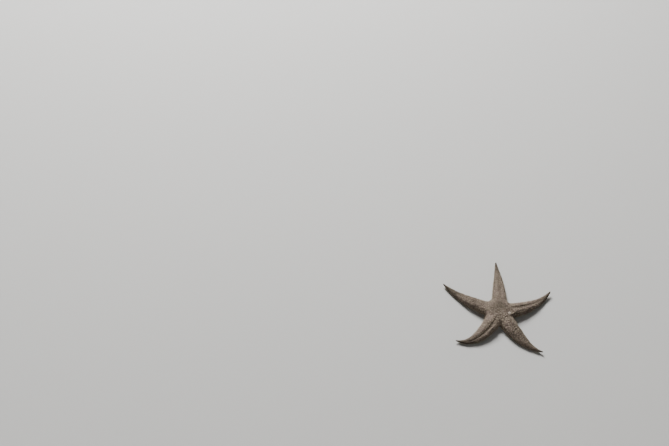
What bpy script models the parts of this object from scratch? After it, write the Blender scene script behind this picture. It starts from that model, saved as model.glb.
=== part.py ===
"""Common starfish (Asterias rubens), an adult at life size, lying still on a flat floor.

Metres, +Z up. The middle of the disc is built at x = y = 0 and the soles lie at z = 0. The whole
body is one union of five arms and a dome, hollowed from below by the grooves and the mouth, and
then parted with thin cuts into the disc and the five arms. At the end everything is shifted so
that the origin is the middle of the bottom of the whole object.
"""

import math
from dataclasses import dataclass

import bmesh
import bpy
from mathutils import Matrix, Vector

MM = 0.001
GAP = 0.3 * MM  # air left between two pieces that touch in life

# Arms, measured from the middle of the disc
ARM_HALF_WIDTH = 8.4 * MM
TIP_HALF_WIDTH = 1.1 * MM
ROOT_FLARE = 0.08  # how much wider an arm is where it leaves the disc
FLARE_END = 0.35  # where the flare has died out, as a share of the arm's length
WIDEST = 0.3  # the share of the length that the groove's width is measured against
ARM_HEIGHT = 13.2 * MM
TIP_HEIGHT = 2.0 * MM
HEIGHT_TAPER = 1.5  # how long an arm keeps its height before it falls to the tip
WAIST = 0.40  # height of the widest level, as a share of the arm's height
CREST_POWER = 2.1  # roundness of the upper half of a section, 2 being a true ellipse
SOLE_POWER = 3.6  # squareness of the lower half
SOLE_CUT = 0.5 * MM  # how far the lower half reaches below the floor before it is cut flat
FURROW_DEPTH = 1.9 * MM  # the sunken line along the top of an arm
FURROW_WIDTH = 0.24  # as a share of the arm's half width
FURROW_RISE = (0.10, 0.30)  # the shares of the length between which it deepens
FURROW_FADE = (0.50, 0.95)  # and between which it dies out
LIFT_START = 0.72  # where a raised tip leaves the floor
ROOT_START = 0.02  # an arm begins inside the dome, at this share of its length
RING_POINTS = 24
STATIONS = 22
TIP_SHARE = 0.95  # the share of the length taken as the tip when the arms are parted

# Disc
DOME_RADIUS = 19.0 * MM
DOME_HEIGHT = 13.6 * MM
DOME_SQUARENESS = 3.2  # 2 would be a true half ellipse
DOME_SEGMENTS = 24
DOME_RINGS = 14
CUT_RADIUS = 15.6 * MM  # distance from the middle to the cut that parts an arm from the disc

# Underside
GROOVE_HALF_WIDTH = 2.9 * MM
GROOVE_DEPTH = 4.4 * MM
GROOVE_SHARE = 0.5  # the most of the arm's height that the groove may take
GROOVE_END = 0.90  # where the groove stops, as a share of the arm's length
GROOVE_POINTS = 10
GROOVE_STATIONS = 16
MOUTH_RADIUS = 5.4 * MM
MOUTH_DEPTH = 4.8 * MM
MOUTH_NARROWING = 0.8  # radius of the mouth's roof, as a share of the radius at the floor
MOUTH_SEGMENTS = 24
MOUTH_SKIN_RADIUS = 4.2 * MM
MOUTH_SKIN_THICKNESS = 1.4 * MM
MOUTH_LIP = 1.6 * MM
MOUTH_DIP = 0.5 * MM
MOUTH_SKIN_SEGMENTS = 20
FACES_DOWN = -0.9  # a face whose normal's z is below this faces down
FEET_START = 8.0 * MM
FEET_END = 0.86  # as a share of the arm's length
FEET_CLEARANCE = 0.7 * MM  # the tube feet are drawn up, clear of the floor
FEET_PER_BANK = 15
FEET_SWELL = 0.14  # how far a bank's sides swell and draw in, as a share of its width
FEET_POINTS = 6

# Small plates
MADREPORITE_RADIUS = 2.3 * MM
MADREPORITE_HEIGHT = 1.6 * MM
MADREPORITE_DISTANCE = 12.4 * MM
MADREPORITE_PROUD = 0.6 * MM
MADREPORITE_ROUNDING = 0.55 * MM
MADREPORITE_SEGMENTS = 20
SOCKET_SEGMENTS = 24
SOCKET_REACH = 6 * MM  # the cutter's length: it starts under the plate and ends in the air
EYESPOT_RADIUS = 0.9 * MM
EYESPOT_LENGTH = 1.0 * MM  # half of the bead's length
EYESPOT_SEGMENTS = 10
EYESPOT_RINGS = 6

FAR = 150 * MM  # longer than any arm
TALL = 40 * MM  # taller than the disc
SHARP_ANGLE = math.radians(40)  # edges that turn more than this are shown sharp

# Finishes, as (colour, roughness); each arm has a colour of its own
PLAIN = ((0.50, 0.50, 0.50, 1), 0.6)
DISC_FINISH = ((0.15, 0.12, 0.09, 1), 0.6)
ARM_ROUGHNESS = 0.6
MADREPORITE_FINISH = ((0.44, 0.37, 0.30, 1), 0.7)
MOUTH_FINISH = ((0.50, 0.37, 0.25, 1), 0.45)
EYESPOT_FINISH = ((0.33, 0.06, 0.04, 1), 0.35)
FEET_FINISH = ((0.56, 0.42, 0.26, 1), 0.4)


@dataclass(frozen=True)
class Arm:
    """One arm. Headings are in degrees from +X, anticlockwise seen from above.

    Its girth is a share of ARM_HALF_WIDTH and its furrow one of FURROW_DEPTH. The furrow lies off
    the crest by a share of the half width, to the right of the heading.
    """

    name: str
    heading: float
    bend: float
    bend_power: float
    length: float
    plumpness: float
    girth: float
    furrow: float
    furrow_side: float
    tip_lift: float
    colour: tuple

    def heading_at(self, share):
        """The way the arm points at this share of its length, in radians."""
        return math.radians(self.heading + self.bend * share**self.bend_power)

    def frame_at(self, share, steps=48):
        """The point under the arm's middle at this share of its length, and its heading."""
        place = Vector((0, 0, 0))
        for step in range(steps):
            turn = self.heading_at(share * (step + 0.5) / steps)
            place += Vector((math.cos(turn), math.sin(turn), 0)) * self.length * share / steps
        place.z = self.tip_lift * max(0.0, (share - LIFT_START) / (1 - LIFT_START)) ** 2
        return place, self.heading_at(share)


ARMS = (
    Arm("upper_left", 164, -30, 1.0, 73.0 * MM, 2.0, 1.00, 0.45, 0.0, 2.4 * MM, (0.16, 0.13, 0.10, 1)),
    Arm("top", 79, 13, 1.0, 68.0 * MM, 2.2, 1.00, 0.70, 0.0, 1.8 * MM, (0.20, 0.17, 0.13, 1)),
    Arm("right", 7, 40, 1.7, 71.5 * MM, 2.2, 1.00, 0.90, 0.0, 3.2 * MM, (0.17, 0.13, 0.11, 1)),
    Arm("lower_right", -60, 38, 2.6, 67.5 * MM, 2.7, 1.09, 0.40, 0.0, 2.0 * MM, (0.16, 0.12, 0.10, 1)),
    Arm("lower_left", -126, -70, 2.6, 68.5 * MM, 2.6, 1.04, 1.20, -0.25, 1.4 * MM, (0.17, 0.14, 0.11, 1)),
)


def smooth_step(share):
    """A rise from 0 to 1 with level ends."""
    share = min(max(share, 0.0), 1.0)
    return share * share * (3 - 2 * share)


def half_width(arm, share):
    """The arm's half width: widest a third of the way out, then down to a blunt tip."""
    taper = (1 - share**arm.plumpness) ** (arm.plumpness / 2)
    flare = 1 + ROOT_FLARE * (1 - smooth_step(share / FLARE_END))
    return TIP_HALF_WIDTH + ARM_HALF_WIDTH * arm.girth * taper * flare


def height(share):
    """The arm's height at this share of its length."""
    return TIP_HEIGHT + (ARM_HEIGHT - TIP_HEIGHT) * (1 - share**HEIGHT_TAPER)


def furrow(arm, share):
    """The depth of the sunken line, which dies out at the disc and before the tip."""
    start, full = FURROW_RISE
    fade, end = FURROW_FADE
    deepened = smooth_step((share - start) / (full - start))
    return FURROW_DEPTH * arm.furrow * deepened * (1 - smooth_step((share - fade) / (end - fade)))


def section_point(arm, share, turn):
    """A point on the arm's section, as (across, up); turn is 0 at the crest."""
    side, crest = math.sin(turn), math.cos(turn)
    power = 2 / (CREST_POWER if crest > 0 else SOLE_POWER)
    width, tall = half_width(arm, share), height(share)
    waist = WAIST * tall
    across = width * math.copysign(abs(side) ** power, side)
    if crest > 0:
        up = waist + (tall - waist) * crest**power
        aside = (across / width - arm.furrow_side) / FURROW_WIDTH
        up -= furrow(arm, share) * math.exp(-(aside**2)) * crest
    else:
        up = waist - (waist + SOLE_CUT) * abs(crest) ** power
    return across, up


def new_object(name, mesh_builder, finish=PLAIN):
    """Makes an object from a bmesh, with a material of its own."""
    mesh = bpy.data.meshes.new(name)
    mesh_builder.to_mesh(mesh)
    mesh_builder.free()
    made = bpy.data.objects.new(name, mesh)
    bpy.context.scene.collection.objects.link(made)
    material = bpy.data.materials.new(name)
    material.use_nodes = True
    shader = material.node_tree.nodes["Principled BSDF"]
    colour, roughness = finish
    shader.inputs["Base Color"].default_value = colour
    shader.inputs["Roughness"].default_value = roughness
    shader.inputs["Metallic"].default_value = 0.0
    mesh.materials.append(material)
    return made


def tube(arm, first, last, stations, points, outline):
    """A closed tube along an arm: a flat grid is wrapped round the arm's middle line.

    outline(arm, share, turn) gives each section as (across, up).
    """
    bm = bmesh.new()
    bmesh.ops.create_grid(bm, x_segments=stations, y_segments=points, size=0.5)
    frames = {}
    for vert in bm.verts:
        column = round((vert.co.x + 0.5) * stations)
        turn = math.tau * round((vert.co.y + 0.5) * points) / points
        share = first + (last - first) * column / stations
        if column not in frames:
            frames[column] = arm.frame_at(share)
        place, heading = frames[column]
        across, up = outline(arm, share, turn)
        sideways = Vector((math.sin(heading), -math.cos(heading), 0))
        vert.co = place + sideways * across + Vector((0, 0, up))
    bmesh.ops.remove_doubles(bm, verts=bm.verts, dist=0.001 * MM)
    bmesh.ops.holes_fill(bm, edges=[edge for edge in bm.edges if edge.is_boundary], sides=0)
    bmesh.ops.recalc_face_normals(bm, faces=bm.faces)
    return bm


def prism(corners, low, high):
    """A closed upright prism on the given (x, y) corners."""
    bm = bmesh.new()
    base = bm.faces.new([bm.verts.new((x, y, low)) for x, y in corners])
    raised = bmesh.ops.extrude_face_region(bm, geom=[base])
    top = [part for part in raised["geom"] if isinstance(part, bmesh.types.BMVert)]
    bmesh.ops.translate(bm, verts=top, vec=(0, 0, high - low))
    bmesh.ops.recalc_face_normals(bm, faces=bm.faces)
    return bm


def combine(target, other, operation):
    """Applies a Boolean to target and removes the other object."""
    modifier = target.modifiers.new(operation.lower(), "BOOLEAN")
    modifier.operation = operation
    modifier.solver = "EXACT"
    modifier.object = other
    bpy.context.view_layer.objects.active = target
    bpy.ops.object.modifier_apply(modifier=modifier.name)
    bpy.data.objects.remove(other)


def squared_dome():
    """The disc's own bulge: a ball pushed out towards a cylinder, so that its top is broad."""
    dome = bmesh.new()
    bmesh.ops.create_uvsphere(dome, u_segments=DOME_SEGMENTS, v_segments=DOME_RINGS, radius=1)
    for vert in dome.verts:
        around, rise = math.hypot(vert.co.x, vert.co.y), abs(vert.co.z)
        reach = (around**DOME_SQUARENESS + rise**DOME_SQUARENESS) ** (1 / DOME_SQUARENESS)
        vert.co /= reach
    bmesh.ops.scale(dome, vec=(DOME_RADIUS, DOME_RADIUS, DOME_HEIGHT), verts=dome.verts)
    return dome


def whole_body():
    """Five arms and a dome as one closed body, with flat soles, grooves and a mouth."""
    body = new_object("body", squared_dome())
    for arm in ARMS:
        limb = new_object("limb", tube(arm, ROOT_START, 1.0, STATIONS, RING_POINTS, section_point))
        combine(body, limb, "UNION")
    square = [(-FAR, -FAR), (FAR, -FAR), (FAR, FAR), (-FAR, FAR)]
    combine(body, new_object("above_floor", prism(square, 0, TALL)), "INTERSECT")
    mouth = bmesh.new()
    bmesh.ops.create_cone(
        mouth, cap_ends=True, segments=MOUTH_SEGMENTS, radius1=(2 - MOUTH_NARROWING) * MOUTH_RADIUS,
        radius2=MOUTH_NARROWING * MOUTH_RADIUS, depth=2 * MOUTH_DEPTH,
    )
    combine(body, new_object("mouth_cut", mouth), "DIFFERENCE")
    for arm in ARMS:
        start = MOUTH_NARROWING * MOUTH_RADIUS / arm.length
        groove = tube(arm, start, GROOVE_END, GROOVE_STATIONS, GROOVE_POINTS, groove_point)
        combine(body, new_object("groove", groove), "DIFFERENCE")
    return body


def groove_size(arm, share):
    """The groove's half width and depth, which shrink with the arm."""
    size = half_width(arm, share) / half_width(arm, WIDEST)
    return GROOVE_HALF_WIDTH * size, min(GROOVE_DEPTH * size, GROOVE_SHARE * height(share))


def groove_point(arm, share, turn):
    """The groove's section: a round-topped channel that reaches below the floor."""
    width, depth = groove_size(arm, share)
    return width * math.sin(turn), depth * math.cos(turn)


def feet_point(arm, share, turn):
    """The bank of tube feet: it fills the groove, and its sides swell once for each foot."""
    width, depth = groove_size(arm, share)
    start = FEET_START / arm.length
    foot = FEET_PER_BANK * (share - start) / (FEET_END - start)
    swell = 1 - FEET_SWELL * (1 + math.cos(math.tau * foot))
    low, high = FEET_CLEARANCE, depth - 2 * GAP
    lift = (low + high) / 2 + (high - low) / 2 * math.cos(turn)
    room = math.sqrt(max(0.0, 1 - (max(lift, 0.0) / depth) ** 2))
    across = (width * room - 2 * GAP) * swell * math.sin(turn)
    return across, lift


def pentagon(distance):
    """The corners where the arms' cuts meet, each cut lying square to its arm's heading."""
    corners = []
    for arm, following in zip(ARMS, ARMS[-1:] + ARMS[:-1]):
        first, second = math.radians(arm.heading), math.radians(following.heading)
        half_gap = math.remainder(second - first, math.tau) / 2
        reach = distance / math.cos(half_gap)
        middle = first + half_gap
        corners.append((reach * math.cos(middle), reach * math.sin(middle)))
    return corners


def between_tips(arm, following):
    """The direction half way between the tips of two arms, in radians."""
    first, second = arm.frame_at(TIP_SHARE)[0], following.frame_at(TIP_SHARE)[0]
    first_turn = math.atan2(first.y, first.x)
    second_turn = math.atan2(second.y, second.x)
    return first_turn + math.remainder(second_turn - first_turn, math.tau) / 2


def wedge(index, corners):
    """The region of one arm: from its cut outwards, between the gaps on its two sides."""
    before, after = corners[index], corners[(index + 1) % len(ARMS)]
    left = between_tips(ARMS[index], ARMS[index - 1])
    right = between_tips(ARMS[index], ARMS[(index + 1) % len(ARMS)])
    far_left = (before[0] + FAR * math.cos(left), before[1] + FAR * math.sin(left))
    far_right = (after[0] + FAR * math.cos(right), after[1] + FAR * math.sin(right))
    return prism([before, far_left, far_right, after], -TALL, TALL)


def copy_of(source, name, finish):
    """A copy of an object's shape under a new name and finish."""
    bm = bmesh.new()
    bm.from_mesh(source.data)
    return new_object(name, bm, finish)


def surface_frame(body, x, y):
    """The point on top of the body over (x, y), and the way the skin faces there."""
    hit, place, normal, _ = body.ray_cast(Vector((x, y, TALL)), Vector((0, 0, -1)))
    if not hit:
        raise RuntimeError("no body below that point")
    return place, normal


def madreporite(disc):
    """The sieve plate: a low round button in a socket between two arms."""
    turn = math.radians((ARMS[2].heading + ARMS[3].heading) / 2)
    x, y = MADREPORITE_DISTANCE * math.cos(turn), MADREPORITE_DISTANCE * math.sin(turn)
    place, normal = surface_frame(disc, x, y)
    upright = (normal + Vector((0, 0, 1))).normalized()
    pose = Matrix.Translation(place) @ upright.to_track_quat("Z", "X").to_matrix().to_4x4()
    base = MADREPORITE_PROUD - MADREPORITE_HEIGHT

    socket = bmesh.new()
    bmesh.ops.create_cone(
        socket, cap_ends=True, segments=SOCKET_SEGMENTS, radius1=MADREPORITE_RADIUS + GAP,
        radius2=MADREPORITE_RADIUS + GAP, depth=SOCKET_REACH,
    )
    bmesh.ops.translate(socket, verts=socket.verts, vec=(0, 0, base - GAP + SOCKET_REACH / 2))
    bmesh.ops.transform(socket, matrix=pose, verts=socket.verts)
    combine(disc, new_object("socket", socket), "DIFFERENCE")

    button = bmesh.new()
    bmesh.ops.create_cone(
        button, cap_ends=True, segments=MADREPORITE_SEGMENTS, radius1=MADREPORITE_RADIUS,
        radius2=MADREPORITE_RADIUS, depth=MADREPORITE_HEIGHT,
    )
    upper = [edge for edge in button.edges if min(vert.co.z for vert in edge.verts) > 0]
    bmesh.ops.bevel(
        button, geom=upper, offset=MADREPORITE_ROUNDING, offset_type="OFFSET", segments=3,
        profile=0.5, affect="EDGES", material=-1,
    )
    bmesh.ops.translate(button, verts=button.verts, vec=(0, 0, base + MADREPORITE_HEIGHT / 2))
    bmesh.ops.transform(button, matrix=pose, verts=button.verts)
    return new_object("madreporite", button, MADREPORITE_FINISH)


def mouth_disc():
    """The soft skin round the mouth: a low ring with a dip in its middle, seen from below."""
    bm = bmesh.new()
    bmesh.ops.create_cone(
        bm, cap_ends=True, segments=MOUTH_SKIN_SEGMENTS, radius1=MOUTH_SKIN_RADIUS,
        radius2=MOUTH_NARROWING * MOUTH_SKIN_RADIUS, depth=MOUTH_SKIN_THICKNESS,
    )
    under = [face for face in bm.faces if face.normal.z < FACES_DOWN]
    bmesh.ops.inset_region(bm, faces=under, thickness=MOUTH_LIP, depth=0)
    under = [face for face in bm.faces if face.normal.z < FACES_DOWN and len(face.verts) > 4]
    bmesh.ops.inset_region(bm, faces=under, thickness=MOUTH_DIP, depth=-MOUTH_DIP)
    middle = MOUTH_DEPTH - GAP - MOUTH_SKIN_THICKNESS / 2
    bmesh.ops.translate(bm, verts=bm.verts, vec=(0, 0, middle))
    return new_object("mouth", bm, MOUTH_FINISH)


def eyespot(arm):
    """The bead with the eye-spot at the very end of an arm."""
    bm = bmesh.new()
    bmesh.ops.create_uvsphere(bm, u_segments=EYESPOT_SEGMENTS, v_segments=EYESPOT_RINGS, radius=1)
    bmesh.ops.scale(bm, vec=(EYESPOT_LENGTH, EYESPOT_RADIUS, EYESPOT_RADIUS), verts=bm.verts)
    place, heading = arm.frame_at(1.0)
    forward = Vector((math.cos(heading), math.sin(heading), 0))
    place += forward * (EYESPOT_LENGTH + GAP) + Vector((0, 0, TIP_HEIGHT / 2))
    bmesh.ops.transform(
        bm, matrix=Matrix.Translation(place) @ Matrix.Rotation(heading, 4, "Z"), verts=bm.verts,
    )
    return new_object(f"eyespot_{arm.name}", bm, EYESPOT_FINISH)


def tube_feet(arm):
    """The bank of tube feet in one groove."""
    bm = tube(arm, FEET_START / arm.length, FEET_END, 2 * FEET_PER_BANK, FEET_POINTS, feet_point)
    return new_object(f"tube_feet_{arm.name}", bm, FEET_FINISH)


def build():
    """Builds every piece, shades the round ones smooth and sets the origin."""
    for stale in list(bpy.data.objects):
        bpy.data.objects.remove(stale)

    body = whole_body()
    hub = new_object("hub_cut", prism(pentagon(CUT_RADIUS), -TALL, TALL))
    disc = copy_of(body, "disc", DISC_FINISH)
    combine(disc, hub, "INTERSECT")
    pieces = [disc]
    outer_corners = pentagon(CUT_RADIUS + GAP)
    for index, arm in enumerate(ARMS):
        limb = copy_of(body, f"arm_{arm.name}", (arm.colour, ARM_ROUGHNESS))
        combine(limb, new_object("wedge", wedge(index, outer_corners)), "INTERSECT")
        pieces += [limb, tube_feet(arm), eyespot(arm)]
    bpy.data.objects.remove(body)
    pieces += [madreporite(disc), mouth_disc()]

    corners = [vert.co for piece in pieces for vert in piece.data.vertices]
    middle = Vector(
        [(min(c[axis] for c in corners) + max(c[axis] for c in corners)) / 2 for axis in (0, 1)] + [0]
    )
    for piece in pieces:
        piece.data.transform(Matrix.Translation(-middle))
        piece.data.shade_smooth()
        piece.data.set_sharp_from_angle(angle=SHARP_ANGLE)


build()
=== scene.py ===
"""Common starfish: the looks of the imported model.

One skin replaces the disc and the five arms. Over it lie the coat of short blunt spines, the
granules round their feet, the fringes along the flanks and the groove, and the tube feet. The
sieve plate, the mouth and the eye-spots are pieces of their own. Metres, +Z up.
"""

import logging
import math
from collections.abc import Callable
from dataclasses import dataclass, field
from enum import Enum
from random import Random

import bmesh
import bpy
import numpy as np
from mathutils import Euler, Matrix, Vector, noise
from mathutils.bvhtree import BVHTree
from mathutils.kdtree import KDTree


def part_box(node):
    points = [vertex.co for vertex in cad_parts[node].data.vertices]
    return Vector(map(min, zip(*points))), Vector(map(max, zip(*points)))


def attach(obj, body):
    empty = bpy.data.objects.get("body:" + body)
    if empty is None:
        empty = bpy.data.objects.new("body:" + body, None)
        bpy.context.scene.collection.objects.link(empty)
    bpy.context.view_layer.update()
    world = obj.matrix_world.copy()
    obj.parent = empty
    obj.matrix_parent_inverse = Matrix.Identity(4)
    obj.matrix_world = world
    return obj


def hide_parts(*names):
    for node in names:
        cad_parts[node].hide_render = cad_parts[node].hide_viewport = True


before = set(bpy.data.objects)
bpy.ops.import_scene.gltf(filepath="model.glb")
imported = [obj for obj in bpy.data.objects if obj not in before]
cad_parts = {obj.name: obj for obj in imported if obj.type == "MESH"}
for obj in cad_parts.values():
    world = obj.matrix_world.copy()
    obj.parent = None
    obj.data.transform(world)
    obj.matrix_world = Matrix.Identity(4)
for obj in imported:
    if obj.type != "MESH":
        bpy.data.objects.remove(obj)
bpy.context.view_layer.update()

MM = 0.001
BAKE_MAP = "OFBake"

# The size of a small shape's patch on the map, against the whole map.
BAKE_PATCH = 0.003

DOWN = Vector((0, 0, -1))

# The golden angle, by which each of the disc's spines is turned from the one before.
GOLDEN_TURN = 2.39996

log = logging.getLogger("starfish")


def smooth_step(share: float) -> float:
    """A rise from 0 to 1 with level ends; shares outside 0 to 1 are held at the ends."""
    share = min(max(share, 0.0), 1.0)
    return share * share * (3 - 2 * share)


def ahead_of(heading: float) -> Vector:
    """The level way along a heading in radians."""
    return Vector((math.cos(heading), math.sin(heading), 0))


def right_of(heading: float) -> Vector:
    """The level way to the right of a heading in radians."""
    return Vector((math.sin(heading), -math.cos(heading), 0))


# --------------------------------------------------------------------------------------------
# The body's plan
# --------------------------------------------------------------------------------------------


@dataclass(frozen=True)
class Arm:
    """One arm's course over the floor. Headings are in degrees from +X, anticlockwise.

    Its girth is a share of the plan's half width and its furrow one of its furrow depth. The
    furrow lies off the crest by a share of the half width, to the right of the heading.
    """

    name: str
    heading: float
    bend: float
    bend_power: float
    length: float
    plumpness: float
    girth: float
    furrow: float
    furrow_side: float
    tip_lift: float

    def heading_at(self, share: float) -> float:
        """The way the arm points at a share of its length, in radians."""
        return math.radians(self.heading + self.bend * share**self.bend_power)


@dataclass(frozen=True)
class BodyPlan:
    """The body's sizes, as the solids have them, and the way the skin lies inside them.

    The furrow's start and finish each give a share of the arm and the stretch it takes. The
    groove has its stated size at groove_full, and its roof stays below groove_roof of the arm's
    height. The coat is thinner where the half width is less than full_coat.
    """

    middle: Vector
    arms: tuple[Arm, ...] = (
        Arm("upper_left", 164, -30, 1.0, 73.0 * MM, 2.0, 1.00, 0.45, 0.0, 2.4 * MM),
        Arm("top", 79, 13, 1.0, 68.0 * MM, 2.2, 1.00, 0.70, 0.0, 1.8 * MM),
        Arm("right", 7, 40, 1.7, 71.5 * MM, 2.2, 1.00, 0.90, 0.0, 3.2 * MM),
        Arm("lower_right", -60, 38, 2.6, 67.5 * MM, 2.7, 1.09, 0.40, 0.0, 2.0 * MM),
        Arm("lower_left", -126, -70, 2.6, 68.5 * MM, 2.6, 1.04, 1.20, -0.25, 1.4 * MM),
    )
    half_width: float = 8.4 * MM
    tip_half_width: float = 1.1 * MM
    root_flare: float = 0.08
    flare_end: float = 0.35
    walk_steps: int = 48
    arm_height: float = 13.2 * MM
    tip_height: float = 2.0 * MM
    height_power: float = 1.5
    waist: float = 0.40
    crest_power: float = 2.1
    sole_power: float = 3.6
    furrow_depth: float = 1.9 * MM
    furrow_width: float = 0.24
    furrow_start: tuple[float, float] = (0.10, 0.20)
    furrow_finish: tuple[float, float] = (0.50, 0.45)
    lift_start: float = 0.72
    dome_radius: float = 19.0 * MM
    dome_height: float = 13.6 * MM
    dome_squareness: float = 3.2
    groove_half_width: float = 2.9 * MM
    groove_depth: float = 4.4 * MM
    groove_end: float = 0.90
    groove_full: float = 0.3
    groove_roof: float = 0.5
    mouth_radius: float = 5.4 * MM
    mouth_depth: float = 4.8 * MM
    coat_depth: float = 0.95 * MM
    full_coat: float = 5 * MM
    sole_gap: float = 0.60 * MM

    def station(self, arm: Arm, share: float) -> tuple[Vector, float]:
        """Walks along an arm in short straight steps.

        Args:
            arm: The arm to follow.
            share: How far to go, as a share of its length.

        Returns:
            The point at floor level under the arm's middle, raised where the tip is raised,
            and the heading there.
        """
        place = self.middle.copy()
        for step in range(self.walk_steps):
            turn = arm.heading_at(share * (step + 0.5) / self.walk_steps)
            place += ahead_of(turn) * (arm.length * share / self.walk_steps)
        raised = max(0.0, (share - self.lift_start) / (1 - self.lift_start))
        place.z = arm.tip_lift * raised**2
        return place, arm.heading_at(share)

    def width(self, arm: Arm, share: float) -> float:
        """The half width of the solid arm at a share of its length.

        Args:
            arm: The arm.
            share: The share of its length.

        Returns:
            The half width.
        """
        share = min(share, 1.0)
        taper = (1 - share**arm.plumpness) ** (arm.plumpness / 2)
        flare = 1 + self.root_flare * (1 - smooth_step(share / self.flare_end))
        return self.tip_half_width + self.half_width * arm.girth * taper * flare

    def height(self, share: float) -> float:
        """The height of the solid arm at a share of its length."""
        fall = 1 - min(share, 1.0) ** self.height_power
        return self.tip_height + (self.arm_height - self.tip_height) * fall

    def inset(self, arm: Arm, share: float) -> float:
        """The coat's depth there, which thins out where the arm is slender."""
        return self.coat_depth * min(1.0, self.width(arm, share) / self.full_coat)

    def furrow(self, arm: Arm, share: float) -> float:
        """The depth of the sunken line along the arm's top.

        Args:
            arm: The arm.
            share: The share of its length.

        Returns:
            The depth, 0 where there is no furrow.
        """
        (start, sinks), (finish, fades) = self.furrow_start, self.furrow_finish
        fade = 1 - smooth_step((share - finish) / fades)
        return self.furrow_depth * arm.furrow * smooth_step((share - start) / sinks) * fade

    def section(self, arm: Arm, share: float, turn: float) -> tuple[float, float]:
        """One point on the outline of the skin across an arm.

        Args:
            arm: The arm that is cut across.
            share: Where it is cut, as a share of its length.
            turn: The angle round the arm, 0 at the crest.

        Returns:
            The point as (across, up).
        """
        side, crest = math.sin(turn), math.cos(turn)
        power = 2 / (self.crest_power if crest > 0 else self.sole_power)
        inset = self.inset(arm, share)
        wide, tall = self.width(arm, share) - inset, self.height(share) - inset
        waist = self.waist * tall
        across = wide * math.copysign(abs(side) ** power, side)
        if crest > 0:
            up = waist + (tall - waist) * crest**power
            aside = (across / wide - arm.furrow_side) / self.furrow_width
            up -= self.furrow(arm, share) * math.exp(-(aside**2)) * crest
        else:
            up = waist - waist * abs(crest) ** power
        return across, up

    def groove_size(self, arm: Arm, share: float) -> tuple[float, float]:
        """The groove's half width and depth at a share of the arm's length.

        Args:
            arm: The arm.
            share: The share of its length.

        Returns:
            The half width and the depth.
        """
        size = self.width(arm, share) / self.width(arm, self.groove_full)
        roof = self.groove_roof * self.height(share)
        return self.groove_half_width * size, min(self.groove_depth * size, roof)

    def groove_section(self, arm: Arm, share: float, turn: float) -> tuple[float, float]:
        """One point on the outline of the groove's cutter, as (across, up)."""
        wide, deep = self.groove_size(arm, share)
        return wide * math.sin(turn), deep * math.cos(turn)

    def around(self, arm: Arm, share: float, turn: float) -> tuple[Vector, Vector]:
        """Looks out from an arm's axis.

        Args:
            arm: The arm.
            share: The share of its length.
            turn: The angle round the arm, 0 at the crest.

        Returns:
            The point on the arm's axis, and the way out.
        """
        place, heading = self.station(arm, share)
        place.z += self.waist * self.height(share)
        return place, right_of(heading) * math.sin(turn) + Vector((0, 0, math.cos(turn)))

    def at_tip(self, arm: Arm, ahead: float, above: float) -> Matrix:
        """The pose of a small part before an arm's tip, turned along the arm.

        Args:
            arm: The arm.
            ahead: How far ahead of the tip the part lies.
            above: How far above it.

        Returns:
            The pose.
        """
        place, heading = self.station(arm, 1.0)
        centre = place + ahead_of(heading) * ahead + Vector((0, 0, above))
        return Matrix.Translation(centre) @ Matrix.Rotation(heading, 4, "Z")


@dataclass
class SkinMap:
    """Places on the body as (arm, share, turn), and an unwrap of the skin made from them.

    Each arm has a cell of the map: its outer skin is opened flat along the groove, and the
    groove's own lining lies in a strip beside it.
    """

    plan: BodyPlan
    samples: int = 140
    sampled_to: float = 1.04
    mapped_to: float = 1.03
    columns: int = 2
    rows: int = 3
    edge: float = 0.02
    outer_strip: float = 0.80
    lining_start: float = 0.85
    lining_axis: float = 0.4 * MM

    def __post_init__(self) -> None:
        """Samples every arm's middle line."""
        self.lines = []
        for arm in self.plan.arms:
            shares = np.linspace(0.0, self.sampled_to, self.samples)
            places, headings = zip(*(self.plan.station(arm, float(share)) for share in shares))
            self.lines.append((shares, np.array([place[:] for place in places]), np.array(headings)))

    def locate(self, points: np.ndarray) -> dict[str, np.ndarray]:
        """Finds where points lie on the body.

        Args:
            points: An array of places, one to a row.

        Returns:
            Arrays named arm, share, across, up, turn and lining. turn is the angle round the
            arm, 0 at the crest, and lining the angle round an axis just below the floor.
        """
        best = np.full(len(points), np.inf)
        found = {name: np.zeros(len(points)) for name in ("arm", "share", "across", "up")}
        for index, (shares, line, headings) in enumerate(self.lines):
            gaps = ((points[:, None, :2] - line[None, :, :2]) ** 2).sum(axis=2)
            near = gaps.argmin(axis=1)
            offset = points - line[near]
            forward = offset[:, 0] * np.cos(headings[near]) + offset[:, 1] * np.sin(headings[near])
            across = offset[:, 0] * np.sin(headings[near]) - offset[:, 1] * np.cos(headings[near])
            distance = gaps[np.arange(len(points)), near]
            closer = distance < best
            best[closer] = distance[closer]
            found["arm"][closer] = index
            share = shares[near] + forward / self.plan.arms[index].length
            found["share"][closer] = share[closer]
            found["across"][closer] = across[closer]
            found["up"][closer] = offset[closer, 2]
        heights = np.array([self.plan.height(max(0.0, float(share))) for share in found["share"]])
        found["turn"] = np.arctan2(found["across"], found["up"] - self.plan.waist * heights)
        found["lining"] = np.arctan2(found["across"], np.maximum(found["up"], 0.0) + self.lining_axis)
        return found

    def on_map(self, arm: int, share: float, turn: float, lining: bool = False) -> tuple[float, float]:
        """The place on the unwrap of a point on the body.

        Args:
            arm: The arm's index.
            share: The point's share of the arm's length.
            turn: The angle round the arm, or round the groove on its lining.
            lining: Whether the point is on the groove's lining.

        Returns:
            The map coordinates.
        """
        room = 1 - 2 * self.edge
        along = self.edge + room * min(max(share, 0.0), self.mapped_to) / self.mapped_to
        if lining:
            width = 1 - self.edge - self.lining_start
            about = self.lining_start + width * (turn / math.pi + 0.5)
        else:
            about = self.edge + (self.outer_strip - self.edge) * (turn / math.tau + 0.5)
        row, column = divmod(arm, self.columns)
        return (column + along) / self.columns, (row + about) / self.rows


# --------------------------------------------------------------------------------------------
# Finishes
# --------------------------------------------------------------------------------------------


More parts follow.
